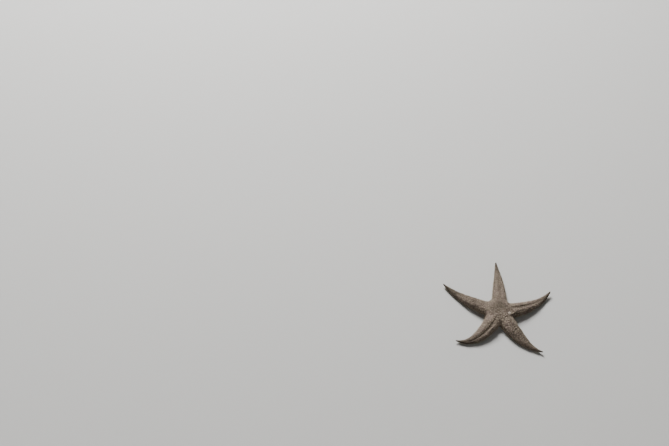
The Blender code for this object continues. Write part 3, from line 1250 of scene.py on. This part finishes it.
class Coat:
    """Many copies of one small shape, joined into a single piece."""

    def __init__(self, name: str, skin_map: SkinMap, shape: bpy.types.Mesh) -> None:
        """Starts an empty coat.

        Args:
            name: The piece's name.
            skin_map: Gives each copy its place on the map.
            shape: The shape to repeat, which the coat removes when it is finished.
        """
        self.name, self.skin_map, self.shape = name, skin_map, shape
        self.joined = bmesh.new()
        self.patch = np.empty(len(shape.loops) * 2)
        shape.uv_layers[BAKE_MAP].data.foreach_get("uv", self.patch)

    def add(self, pose: Matrix, place: tuple[int, float, float]) -> None:
        """Sets one copy on the body.

        Args:
            pose: Where it stands, which way it points and its size.
            place: Its root as (arm, share, turn), which gives its place on the map.
        """
        one = self.shape.copy()
        one.transform(pose)
        at = np.array(self.skin_map.on_map(*place))
        one.uv_layers[BAKE_MAP].data.foreach_set("uv", (self.patch.reshape(-1, 2) + at).ravel())
        self.joined.from_mesh(one)
        bpy.data.meshes.remove(one)

    def finish(self, finish: SpineFinish) -> bpy.types.Object:
        """Makes the piece and gives it its finish.

        Args:
            finish: The coat's finish.

        Returns:
            The piece.
        """
        bpy.data.meshes.remove(self.shape)
        piece = as_object(self.name, self.joined)
        dress(piece, finish.make(), "skin")
        return piece


class Stance(Enum):
    """Which way a row's spines stand."""

    ERECT = "out of the skin"
    SPREAD = "outwards and down to the floor"
    GUARD = "down beside the groove"


@dataclass(frozen=True)
class SpineRow:
    """A row of spines along both sides of every arm, at one angle from the crest."""

    turn: float
    first: float
    last: float
    pitch: float
    height: float
    radius: float
    stray: float
    missing: float
    stance: Stance = Stance.ERECT


@dataclass
class Spine:
    """One spine, ready to be set on the skin."""

    foot: Vector
    way: Vector
    height: float
    radius: float
    place: tuple[int, float, float]

    def pose(self) -> Matrix:
        """Where it stands, which way it points and its size."""
        size = Matrix.Diagonal((self.radius, self.radius, self.height, 1))
        return upright_at(self.foot, self.way) @ size


@dataclass
class SpineCoat:
    """Every spine of one kind, joined into a single piece.

    Spines crowd and shrink where the arm is slender: each pair gives the share that is left at
    no width, and the half width from which the pitch or the size is full. An erect spine leans
    towards the tip by slant. A spread one's way is so much of the skin's normal, of the level
    way out and of down, and a guarding one's is down with so much of the level way out. The
    disc's spines keep disc_gap times the usual distance. Rays at the skin start so many
    millimetres outside an arm's axis, or so far above the disc.
    """

    name: str
    plan: BodyPlan
    skin_map: SkinMap
    rows: tuple[SpineRow, ...]
    finish: SpineFinish
    seed: int
    sides: int = 8
    closest: float = 1.5 * MM
    crowding: tuple[float, float] = (0.45, 6 * MM)
    shrinking: tuple[float, float] = (0.42, 7 * MM)
    slant: float = 0.22
    spread: tuple[float, float, float] = (0.6, 0.7, 0.35)
    guard: float = 0.5
    blunt: float = 0.6
    floor_gap: float = 0.05 * MM
    outside: float = 30
    above: float = 40 * MM
    disc_spines: int = 0
    disc_reach: float = 16.2 * MM
    disc_gap: float = 1.3
    spines: list[Spine] = field(default_factory=list)

    def plant(self, surface: BVHTree, plate: Vector, clear: float) -> None:
        """Finds where the spines stand, row by row and then over the disc.

        Args:
            surface: The smooth skin.
            plate: The middle of the sieve plate.
            clear: How far from there no spine stands.
        """
        dice = Random(self.seed)
        for row in self.rows:
            sides = (0,) if row.turn == 0 else (-1, 1)
            for index, arm in enumerate(self.plan.arms):
                for side in sides:
                    share = row.first + dice.random() * row.pitch / arm.length
                    while share < row.last:
                        spine = self.one_of(row, index, side, share, surface, dice)
                        if spine and (spine.foot - plate).length >= clear:
                            self.keep(spine, self.closest)
                        stray = 1 + row.stray * dice.uniform(-0.4, 0.4)
                        share += row.pitch * self.left(self.crowding, arm, share) * stray / arm.length
        for number in range(self.disc_spines):
            spine = self.one_on_disc(number, surface, dice)
            if spine and (spine.foot - plate).length >= clear:
                self.keep(spine, self.disc_gap * self.closest)

    def left(self, pair: tuple[float, float], arm: Arm, share: float) -> float:
        """How much something has shrunk with the width of the arm.

        Args:
            pair: What is left at no width, and the half width from which the size is full.
            arm: The arm.
            share: The share of its length.

        Returns:
            A share of the full size.
        """
        least, full = pair
        return least + (1 - least) * min(1.0, self.plan.width(arm, share) / full)

    def keep(self, spine: Spine, gap: float) -> None:
        """Keeps a spine, unless it stands too close to another."""
        if all((spine.foot - other.foot).length >= gap for other in self.spines):
            self.spines.append(spine)

    def one_of(self, row: SpineRow, index: int, side: int, share: float, surface: BVHTree,
               dice: Random) -> Spine | None:
        """Works out one spine of a row.

        Args:
            row: The row it belongs to.
            index: The arm's index.
            side: -1 or 1 for the arm's sides, 0 on the crest.
            share: Its share of the arm's length.
            surface: The smooth skin.
            dice: The seeded source of chance.

        Returns:
            The spine, or None where one is missing.
        """
        arm = self.plan.arms[index]
        turn = math.radians(row.turn * side + row.stray * dice.uniform(-9, 9))
        lost = dice.random() < row.missing
        height = row.height * dice.uniform(0.78, 1.15)
        radius = row.radius * dice.uniform(0.85, 1.15)
        lean = Vector([dice.uniform(-0.16, 0.16) for _ in range(3)])
        axis, out = self.plan.around(arm, share, turn)
        hit, normal, _, _ = surface.ray_cast(axis + out * self.outside * MM, -out)
        if lost or hit is None:
            return None
        size = self.left(self.shrinking, arm, share)
        height, radius = height * size, radius * size
        level = Vector((out.x, out.y, 0)).normalized()
        if row.stance is Stance.ERECT:
            way = normal + lean + ahead_of(arm.heading_at(share)) * self.slant
        elif row.stance is Stance.SPREAD:
            out_of, outwards, down = self.spread
            way = normal * out_of + level * outwards + DOWN * down + lean
        else:
            way = DOWN + level * self.guard + lean
        way.normalize()
        low = self.floor_gap + self.blunt * radius
        if hit.z + way.z * height < low:
            way.z = (low - hit.z) / height
            flat = way.xy.normalized() * math.sqrt(max(0.0, 1 - min(1.0, way.z**2)))
            way = Vector((flat.x, flat.y, way.z))
        return Spine(hit, way, height, radius, (index, share, turn))

    def one_on_disc(self, number: int, surface: BVHTree, dice: Random) -> Spine | None:
        """Works out one of the spines strewn over the disc, out into the corners between arms.

        Args:
            number: Its number, counted from the disc's middle.
            surface: The smooth skin.
            dice: The seeded source of chance.

        Returns:
            The spine, or None where no skin lies below.
        """
        reach = self.disc_reach * math.sqrt((number + 0.5) / self.disc_spines)
        turn = number * GOLDEN_TURN + dice.uniform(-0.35, 0.35)
        over = self.plan.middle + Vector((reach * math.cos(turn), reach * math.sin(turn), self.above))
        size = dice.uniform(0.8, 1.15)
        hit, normal, _, _ = surface.ray_cast(over, DOWN)
        if hit is None:
            return None
        found = self.skin_map.locate(np.array([hit[:]]))
        place = (int(found["arm"][0]), float(found["share"][0]), float(found["turn"][0]))
        crest = self.rows[0]
        return Spine(hit, normal, crest.height * size, crest.radius * size, place)

    def build(self) -> bpy.types.Object:
        """Joins all the planted spines.

        Returns:
            The piece.
        """
        coat = Coat(self.name, self.skin_map, spine_shape(self.sides))
        for spine in self.spines:
            coat.add(spine.pose(), spine.place)
        return coat.finish(self.finish)


@dataclass
class Granules:
    """The rings of tiny pincers round the feet of the back spines, seen as pale grains.

    A ring's reach is a multiple of its spine's radius, and a grain stands clear of the skin by a
    share of its own. Round spines thinner than full_spine the grains are smaller.
    """

    skin_map: SkinMap
    finish: SpineFinish
    seed: int = 41
    each: int = 9
    radius: float = 0.155 * MM
    full_spine: float = 0.30 * MM
    ring: float = 1.7
    raised: float = 0.35
    missing: float = 0.12

    def build(self, spines: list[Spine], surface: BVHTree) -> bpy.types.Object:
        """Makes the grains.

        Args:
            spines: The spines they stand round.
            surface: The finished skin.

        Returns:
            The piece.
        """
        dice = Random(self.seed)
        coat = Coat("back_granules", self.skin_map, grain_shape())
        for spine in spines:
            across = spine.way.orthogonal().normalized()
            start = dice.uniform(0, math.tau)
            for number in range(self.each):
                turn = start + math.tau * (number + dice.uniform(-0.25, 0.25)) / self.each
                reach = spine.radius * self.ring * dice.uniform(0.85, 1.55)
                side = Matrix.Rotation(turn, 3, spine.way) @ across
                hit, normal, _, _ = surface.find_nearest(spine.foot + side * reach)
                size = self.radius * dice.uniform(0.7, 1.2) * min(1.0, spine.radius / self.full_spine)
                if dice.random() >= self.missing:
                    pose = upright_at(hit + normal * size * self.raised, normal)
                    coat.add(pose @ Matrix.Scale(size, 4), spine.place)
        return coat.finish(self.finish)


@dataclass
class MouthSpines:
    """The spines on the five corners between the grooves, which close over the mouth.

    Each rank gives how far it stands behind the first, and the share of its spines' height. A
    fan's spines stand to either side by shares of the spread, and closing turns them together.
    """

    plan: BodyPlan
    skin_map: SkinMap
    finish: SpineFinish
    seed: int = 77
    sides: int = 7
    reach: float = 6.0 * MM
    level: float = 0.85 * MM
    height: float = 2.3 * MM
    radius: float = 0.27 * MM
    ranks: tuple[tuple[float, float], ...] = ((0.0, 1.0), (1.1 * MM, 0.8))
    fan: tuple[float, ...] = (-0.75, -0.25, 0.25, 0.75)
    spread: float = 1.25 * MM
    closing: float = -0.35
    share: float = 0.08

    def build(self) -> bpy.types.Object:
        """Makes the spines, in two ranks at each corner.

        Returns:
            The piece.
        """
        dice = Random(self.seed)
        coat = Coat("mouth_spines", self.skin_map, spine_shape(self.sides))
        turns = sorted(
            (math.radians(arm.heading) % math.tau, index) for index, arm in enumerate(self.plan.arms)
        )
        for (turn, index), (after, _) in zip(turns, turns[1:] + turns[:1]):
            corner = turn + ((after - turn) % math.tau) / 2
            inward, across = -ahead_of(corner), -right_of(corner)
            for behind, share in self.ranks:
                for lean in self.fan:
                    foot = self.plan.middle - inward * (self.reach + behind) + across * lean * self.spread
                    foot.z = self.level
                    way = inward + across * lean * self.closing
                    way += Vector((0, 0, dice.uniform(-0.12, 0.06)))
                    height = self.height * (share * dice.uniform(0.9, 1.1))
                    place = (index, self.share, math.pi)
                    spine = Spine(foot, way.normalized(), height, self.radius, place)
                    coat.add(spine.pose(), spine.place)
        return coat.finish(self.finish)


# --------------------------------------------------------------------------------------------
# Underside, plates and eyes
# --------------------------------------------------------------------------------------------


@dataclass
class TubeFeet:
    """The tube feet of one arm: four rows of soft stalks with suckers, drawn up in the groove.

    Each ring of a foot has its share of the foot's length and how far it swells, and each lane
    of feet its place across the groove and how far its feet stand ahead. Roots hang at the
    share roof of the groove's depth, less roof_fall towards its sides. crowding is the share of
    the pitch that is left where the feet are smallest.
    """

    plan: BodyPlan
    arm: Arm
    material: bpy.types.Material
    seed: int
    pitch: float = 1.75 * MM
    crowding: float = 0.35
    stalk: float = 0.42 * MM
    sucker: float = 0.62 * MM
    sucker_start: float = 0.9
    hollow_rim: float = 0.16 * MM
    hollow_depth: float = 0.12 * MM
    sides: int = 9
    first: float = 5.9 * MM
    last: float = 0.87
    roots_across: float = 0.85
    roof: float = 0.97
    roof_fall: float = 0.38
    lanes: tuple[tuple[float, float], ...] = ((-0.66, 0.0), (-0.24, 0.5), (0.24, 0.0), (0.66, 0.5))
    rings: tuple[tuple[float, float], ...] = (
        (0.00, 1.15), (0.30, 1.0), (0.62, 0.80), (0.80, 0.78), (0.90, 1.10), (0.97, 1.0), (1.0, 0.72),
    )

    def foot(self, bm: bmesh.types.BMesh, root: Vector, tip: Vector, size: float) -> None:
        """Adds one foot.

        Args:
            bm: The mesh to add it to.
            root: Where it leaves the groove's roof.
            tip: The middle of its sucker's face.
            size: Its thickness against a full-sized one.
        """
        way = tip - root
        axis = way.normalized()
        made = bmesh.ops.create_circle(bm, cap_ends=True, segments=self.sides, radius=1,
                                       matrix=upright_at(root, way))
        ring = made["verts"]
        face = ring[0].link_faces[0]
        for number, (along, swell) in enumerate(self.rings):
            if number:
                raised = bmesh.ops.extrude_face_region(bm, geom=[face])
                bmesh.ops.delete(bm, geom=[face], context="FACES_ONLY")
                face = parts_of(raised, bmesh.types.BMFace)[0]
                ring = parts_of(raised, bmesh.types.BMVert)
            thick = (self.sucker if along >= self.sucker_start else self.stalk) * swell * size
            centre = root + way * along
            for vert in ring:
                out = vert.co - root
                out -= axis * out.dot(axis)
                vert.co = centre + out.normalized() * thick
        bmesh.ops.inset_individual(bm, faces=[face], thickness=self.hollow_rim * size, depth=0)
        bmesh.ops.translate(bm, verts=face.verts, vec=-axis * self.hollow_depth * size)

    def build(self) -> bpy.types.Object:
        """Makes the bank of feet and lets it stand for the solid one.

        Returns:
            The piece.
        """
        dice = Random(self.seed)
        bm = bmesh.new()
        share = self.first / self.arm.length
        while share < self.last:
            wide, deep = self.plan.groove_size(self.arm, share)
            size = wide / self.plan.groove_half_width
            place, heading = self.plan.station(self.arm, share)
            sideways = right_of(heading)
            for lane, stagger in self.lanes:
                ahead = ahead_of(heading) * (stagger * self.pitch * size)
                root = place + ahead + sideways * (lane * wide * self.roots_across)
                root.z += deep * (self.roof - self.roof_fall * abs(lane))
                tip = place + ahead * dice.uniform(0.6, 1.4)
                tip += sideways * (lane * wide * dice.uniform(0.9, 1.12))
                tip.z += dice.uniform(0.12, 0.9) * MM * size
                self.foot(bm, root, tip, size * dice.uniform(0.88, 1.08))
            share += self.pitch * (self.crowding + (1 - self.crowding) * size) / self.arm.length
        bmesh.ops.recalc_face_normals(bm, faces=bm.faces)
        piece = as_object(f"feet_{self.arm.name}", bm)
        dress(piece, self.material, "tube_feet", f"tube_feet_{self.arm.name}")
        return piece


def round_sheet(radius: float, sides: int, rings: int, filled: float) -> bmesh.types.BMesh:
    """A flat disc of rings, one inside the other, with a skirt's edge extruded from its rim.

    Args:
        radius: Its radius.
        sides: How many sides it has.
        rings: How many rings it is divided into.
        filled: How much of the radius the rings take up.

    Returns:
        The sheet.
    """
    bm = bmesh.new()
    bmesh.ops.create_circle(bm, cap_ends=True, segments=sides, radius=radius)
    face = bm.faces[:][0]
    for _ in range(1, rings):
        bmesh.ops.inset_individual(bm, faces=[face], thickness=radius * filled / rings)
    bmesh.ops.extrude_edge_only(bm, edges=open_edges(bm))
    return bm


@dataclass
class SievePlate:
    """The madreporite: a low round plate scored by branching grooves from its middle.

    The grooves double in number at the fork. They run from the inner stretch to the outer one,
    each of which gives a share of the radius and the share over which they fade.
    """

    finish: PlateFinish = PlateFinish()
    radius: float = 2.2 * MM
    crown: float = 0.62 * MM
    crown_power: float = 2.6
    skirt: float = 1.0 * MM
    grooves: int = 15
    groove_depth: float = 0.16 * MM
    groove_power: float = 1.6
    fork: float = 0.55
    inner: tuple[float, float] = (0.12, 0.2)
    outer: tuple[float, float] = (0.86, 0.12)
    winding: float = 0.55
    winding_scale: tuple[float, float] = (2.2, 1.5)
    raised: float = 0.22 * MM
    clear: float = 1.15 * MM
    rings: int = 22
    filled: float = 0.96
    sides: int = 120
    probes: int = 12
    probe_share: float = 0.8
    above: float = 20 * MM

    def seat(self, surface: BVHTree) -> tuple[Vector, Vector]:
        """Finds where the plate lies on the skin, under its solid's middle.

        Args:
            surface: The smooth skin.

        Returns:
            The place and the way that the plate faces.
        """
        low, high = (Vector(corner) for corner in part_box("madreporite"))
        above = (low + high) / 2 + Vector((0, 0, self.above))
        turns = [math.tau * probe / self.probes for probe in range(self.probes)]
        starts = [above + ahead_of(turn) * self.radius * self.probe_share for turn in turns]
        hits = [surface.ray_cast(start, DOWN)[0] for start in starts]
        centre = sum(hits, Vector()) / len(hits)
        quarter = self.probes // 4
        way = Vector()
        for one, other in zip(hits, hits[quarter:] + hits[:quarter]):
            way += (one - centre).cross(other - centre)
        return centre, way.normalized()

    def groove_at(self, reach: float, turn: float) -> float:
        """How deeply the plate is scored.

        Args:
            reach: A share of the plate's radius.
            turn: An angle round its middle.

        Returns:
            The depth of the grooves there, from 0 to 1.
        """
        outwards, around = self.winding_scale
        bend = self.winding * noise.noise(
            Vector((outwards * reach, math.cos(turn) * around, math.sin(turn) * around))
        )
        count = self.grooves * (2 if reach > self.fork else 1)
        cut = (0.5 + 0.5 * math.cos(count * (turn + bend))) ** self.groove_power
        cut *= smooth_step((reach - self.inner[0]) / self.inner[1])
        return cut * (1 - smooth_step((reach - self.outer[0]) / self.outer[1]))

    def build(self, surface: BVHTree) -> bpy.types.Object:
        """Makes the plate in place of its solid.

        Args:
            surface: The smooth skin.

        Returns:
            The piece.
        """
        middle, way = self.seat(surface)
        bm = round_sheet(self.radius, self.sides, self.rings, self.filled)
        layer = bm.verts.layers.float.new("groove")
        for vert in bm.verts:
            reach = vert.co.xy.length / self.radius
            cut = self.groove_at(reach, math.atan2(vert.co.y, vert.co.x))
            vert.co.z += self.crown * (1 - reach**self.crown_power) - cut * self.groove_depth
            vert[layer] = cut
            if vert.is_boundary:
                vert.co.z = -self.skirt
        close_up(bm)
        bmesh.ops.transform(bm, matrix=upright_at(middle + way * self.raised, way), verts=bm.verts)
        piece = as_object("sieve_plate", bm)
        dress(piece, self.finish.make(), "sieve_plate", "madreporite")
        return piece


@dataclass
class Mouth:
    """The soft skin round the mouth: folds that run in to a small dark opening.

    The folds grow from the middle to fold_start, and the throat narrows to throat_share, both
    shares of the mouth's radius.
    """

    plan: BodyPlan
    finish: FleshFinish = FleshFinish("mouth_skin", (0.62, 0.46, 0.31, 1), (0.36, 0.21, 0.14, 1))
    folds: int = 20
    fold_height: float = 0.24 * MM
    fold_start: float = 0.35
    bulge: float = 0.65 * MM
    throat: float = 1.5 * MM
    throat_share: float = 0.30
    below_roof: float = 0.9 * MM
    rings: int = 16
    filled: float = 0.95
    sides: int = 80

    def build(self) -> bpy.types.Object:
        """Makes the mouth's skin in place of its solid.

        Returns:
            The piece.
        """
        low, high = (Vector(corner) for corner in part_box("mouth"))
        radius = (high.x - low.x) / 2
        bm = round_sheet(radius, self.sides, self.rings, self.filled)
        for vert in bm.verts:
            reach = vert.co.xy.length / radius
            turn = math.atan2(vert.co.y, vert.co.x)
            fold = self.fold_height * math.cos(self.folds * turn)
            fold *= smooth_step(reach / self.fold_start) * (1 - reach**6)
            bulge = self.bulge * math.sin(math.pi * min(1.0, reach)) ** 1.5
            throat = self.throat * (1 - smooth_step(reach / self.throat_share))
            vert.co.z = high.z - self.below_roof - bulge - fold + throat
            if vert.is_boundary:
                vert.co.z = high.z
        bmesh.ops.translate(bm, verts=bm.verts, vec=self.plan.middle)
        close_up(bm)
        piece = as_object("mouth_folds", bm)
        dress(piece, self.finish.make(), "mouth_skin", "mouth")
        return piece


@dataclass
class EyeSpots:
    """The eye-spots: small red cushions under the front of each arm's end plate."""

    plan: BodyPlan
    finish: EyeFinish = EyeFinish()
    ahead: float = 1.72 * MM
    above: float = 1.02 * MM
    size: tuple[float, float, float] = (0.42 * MM, 0.46 * MM, 0.36 * MM)
    segments: tuple[int, int] = (28, 16)

    def build(self) -> list[bpy.types.Object]:
        """Makes each eye-spot in place of its solid.

        Returns:
            The pieces.
        """
        material = self.finish.make()
        pieces = []
        for arm in self.plan.arms:
            bm = ball(self.segments)
            pose = self.plan.at_tip(arm, self.ahead, self.above)
            bmesh.ops.transform(bm, matrix=pose @ Matrix.Diagonal((*self.size, 1)), verts=bm.verts)
            pieces.append(as_object(f"eye_{arm.name}", bm))
            dress(pieces[-1], material, "eyespot", f"eyespot_{arm.name}")
        return pieces


# --------------------------------------------------------------------------------------------
# Studio
# --------------------------------------------------------------------------------------------


@dataclass
class Studio:
    """The floor, the light and the camera."""

    plan: BodyPlan
    camera_place: tuple[float, float, float] = (-0.1969, -0.3923, 0.7766)
    camera_tilt: float = 56.0
    lens: float = 38.6
    frame_width: float = 36.0
    flat_reach: float = 2.2
    rim_reach: float = 3.6
    rim_height: float = 2.4
    rim_steps: int = 16
    sides: int = 96
    key_place: tuple[float, float, float] = (-0.55, 1.75, 1.35)
    key_size: float = 0.7
    key_power: float = 135.0
    fill_place: tuple[float, float, float] = (-0.9, -1.6, 1.5)
    fill_size: float = 1.6
    fill_power: float = 1.8
    wash_place: tuple[float, float, float] = (-0.5, 1.9, 0.8)
    wash_aim: tuple[float, float, float] = (-0.2, 3.4, 0.9)
    wash_size: float = 1.2
    wash_power: float = 45.0
    sky: float = 0.06
    sky_colour: tuple[float, float, float, float] = (0.93, 0.96, 1.0, 1)

    def floor(self) -> None:
        """Lays the floor, which sweeps up at its far edges as a backdrop on every side."""
        bm = bmesh.new()
        bmesh.ops.create_circle(bm, cap_ends=True, segments=self.sides, radius=self.flat_reach)
        edges = open_edges(bm)
        turned = math.radians(90) / self.rim_steps
        for step in range(1, self.rim_steps + 1):
            raised = bmesh.ops.extrude_edge_only(bm, edges=edges)
            edges = parts_of(raised, bmesh.types.BMEdge)
            reach = self.flat_reach + (self.rim_reach - self.flat_reach) * math.sin(turned * step)
            for vert in parts_of(raised, bmesh.types.BMVert):
                vert.co = vert.co.normalized() * reach
                vert.co.z = self.rim_height * (1 - math.cos(turned * step))
        bmesh.ops.recalc_face_normals(bm, faces=bm.faces)
        bmesh.ops.reverse_faces(bm, faces=bm.faces)
        made = as_object("studio_floor", bm)
        made.data.materials.append(FloorFinish().make())

    def camera(self) -> None:
        """Sets the camera, which looks down along +Y with the starfish right of and below its axis."""
        data = bpy.data.cameras.new("camera")
        data.lens, data.sensor_width = self.lens, self.frame_width
        data.clip_start, data.clip_end = 0.01, 50
        made = bpy.data.objects.new("camera", data)
        made.location = self.plan.middle + Vector(self.camera_place)
        made.rotation_euler = Euler((math.radians(90 - self.camera_tilt), 0, 0))
        bpy.context.scene.collection.objects.link(made)
        bpy.context.scene.camera = made

    def lamp(self, name: str, offset: tuple[float, float, float], size: float, power: float,
             aim: tuple[float, float, float] = (0.0, 0.0, 0.0)) -> None:
        """Hangs a soft square lamp.

        Args:
            name: Its name.
            offset: Where it hangs, from the disc's middle.
            size: The length of its side.
            power: Its power in watts.
            aim: Where it points, from the disc's middle.
        """
        data = bpy.data.lights.new(name, "AREA")
        data.shape, data.size, data.energy = "SQUARE", size, power
        made = bpy.data.objects.new(name, data)
        made.location = self.plan.middle + Vector(offset)
        made.rotation_euler = (Vector(aim) - Vector(offset)).to_track_quat("-Z", "Y").to_euler()
        bpy.context.scene.collection.objects.link(made)

    def light(self) -> None:
        """Lights the floor from beyond the starfish, with a weak fill and a wash on the backdrop."""
        self.lamp("key", self.key_place, self.key_size, self.key_power)
        self.lamp("fill", self.fill_place, self.fill_size, self.fill_power)
        self.lamp("wash", self.wash_place, self.wash_size, self.wash_power, self.wash_aim)
        world = bpy.data.worlds.new("studio")
        world.use_nodes = True
        back = world.node_tree.nodes["Background"]
        back.inputs["Color"].default_value = self.sky_colour
        back.inputs["Strength"].default_value = self.sky
        bpy.context.scene.world = world

    def build(self) -> None:
        """Makes the whole studio."""
        self.camera()
        self.floor()
        self.light()


# --------------------------------------------------------------------------------------------
# The whole
# --------------------------------------------------------------------------------------------

BACK_ROWS = (
    SpineRow(0, 0.10, 0.99, 2.5 * MM, 1.12 * MM, 0.40 * MM, 0.35, 0.0),
    SpineRow(21, 0.14, 0.96, 2.9 * MM, 0.98 * MM, 0.35 * MM, 1.0, 0.16),
    SpineRow(40, 0.17, 0.98, 2.9 * MM, 0.98 * MM, 0.36 * MM, 1.0, 0.14),
    SpineRow(58, 0.20, 0.97, 2.9 * MM, 0.95 * MM, 0.34 * MM, 1.0, 0.15),
    SpineRow(74, 0.21, 0.98, 2.7 * MM, 0.95 * MM, 0.33 * MM, 0.8, 0.10),
)
FLANK_ROWS = (
    SpineRow(87, 0.22, 1.00, 2.3 * MM, 1.15 * MM, 0.32 * MM, 0.45, 0.05),
    SpineRow(99, 0.23, 1.00, 2.1 * MM, 1.35 * MM, 0.32 * MM, 0.25, 0.03, Stance.SPREAD),
    SpineRow(109, 0.24, 1.00, 2.0 * MM, 1.60 * MM, 0.33 * MM, 0.25, 0.03, Stance.SPREAD),
    SpineRow(118, 0.25, 1.00, 1.9 * MM, 1.60 * MM, 0.31 * MM, 0.25, 0.03, Stance.SPREAD),
)
GROOVE_ROWS = (
    SpineRow(126, 0.20, 0.96, 1.9 * MM, 1.45 * MM, 0.30 * MM, 0.3, 0.04, Stance.SPREAD),
    SpineRow(134, 0.11, 0.98, 1.35 * MM, 1.15 * MM, 0.24 * MM, 0.15, 0.0, Stance.GUARD),
    SpineRow(143, 0.10, 0.98, 1.25 * MM, 1.15 * MM, 0.22 * MM, 0.15, 0.0, Stance.GUARD),
)


def report(*pieces: bpy.types.Object) -> None:
    """Logs each finished piece and its number of faces."""
    for piece in pieces:
        log.info("%s: %d faces", piece.name, len(piece.data.polygons))


def main() -> None:
    """Builds the starfish and its studio."""
    logging.basicConfig(level=logging.INFO, format="%(name)s: %(message)s")
    low, high = (Vector(corner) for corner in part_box("mouth"))
    plan = BodyPlan(Vector(((low.x + high.x) / 2, (low.y + high.y) / 2, 0)))
    skin_map = SkinMap(plan)
    Studio(plan).build()
    log.info("studio ready")

    # Tones shared by skin and spines: a darker disc, random clouds, painted shade on the tips and arms,
    # painted light on two arm roots.
    tones_and_shading = TonesAndPaintedShading(plan)
    chalk = SpineFinish("back_spines", tones_and_shading)
    straw = SpineFinish("fringe_spines", tones_and_shading, end=(0.44, 0.36, 0.25, 1), turnover=0.30)
    pale_straw = SpineFinish("groove_spines", tones_and_shading, foot=(0.34, 0.26, 0.17, 1),
                             end=(0.52, 0.43, 0.30, 1), turnover=0.30, with_tones_and_shading=False)
    grey = SpineFinish("granules", tones_and_shading, end=(0.30, 0.25, 0.195, 1))

    skin = Skin(plan, skin_map, SkinFinish(tones_and_shading))
    skin.build()
    smooth = skin.surface()
    plate = SievePlate()
    seat, _ = plate.seat(smooth)
    back, flank, groove = (
        SpineCoat("back_spines", plan, skin_map, BACK_ROWS, chalk, seed=11, sides=9, disc_spines=96),
        SpineCoat("flank_spines", plan, skin_map, FLANK_ROWS, straw, seed=12, closest=0.9 * MM),
        SpineCoat("groove_spines", plan, skin_map, GROOVE_ROWS, pale_straw, seed=13, sides=6,
                  closest=0.5 * MM),
    )
    for coat in (back, flank, groove):
        coat.plant(smooth, seat, plate.radius + plate.clear)
        report(coat.build())
    skin.relief([spine.foot for spine in back.spines + flank.spines], seat, plate.radius)
    skin.unwrap()
    skin.dress()
    report(skin.piece)
    report(Granules(skin_map, grey).build(back.spines, skin.surface()))
    report(MouthSpines(plan, skin_map, pale_straw).build())

    flesh = FleshFinish("tube_feet").make()
    for number, arm in enumerate(plan.arms):
        report(TubeFeet(plan, arm, flesh, seed=60 + number).build())
    report(plate.build(smooth), Mouth(plan).build(), *EyeSpots(plan).build())


if __name__ == "__main__":
    main()
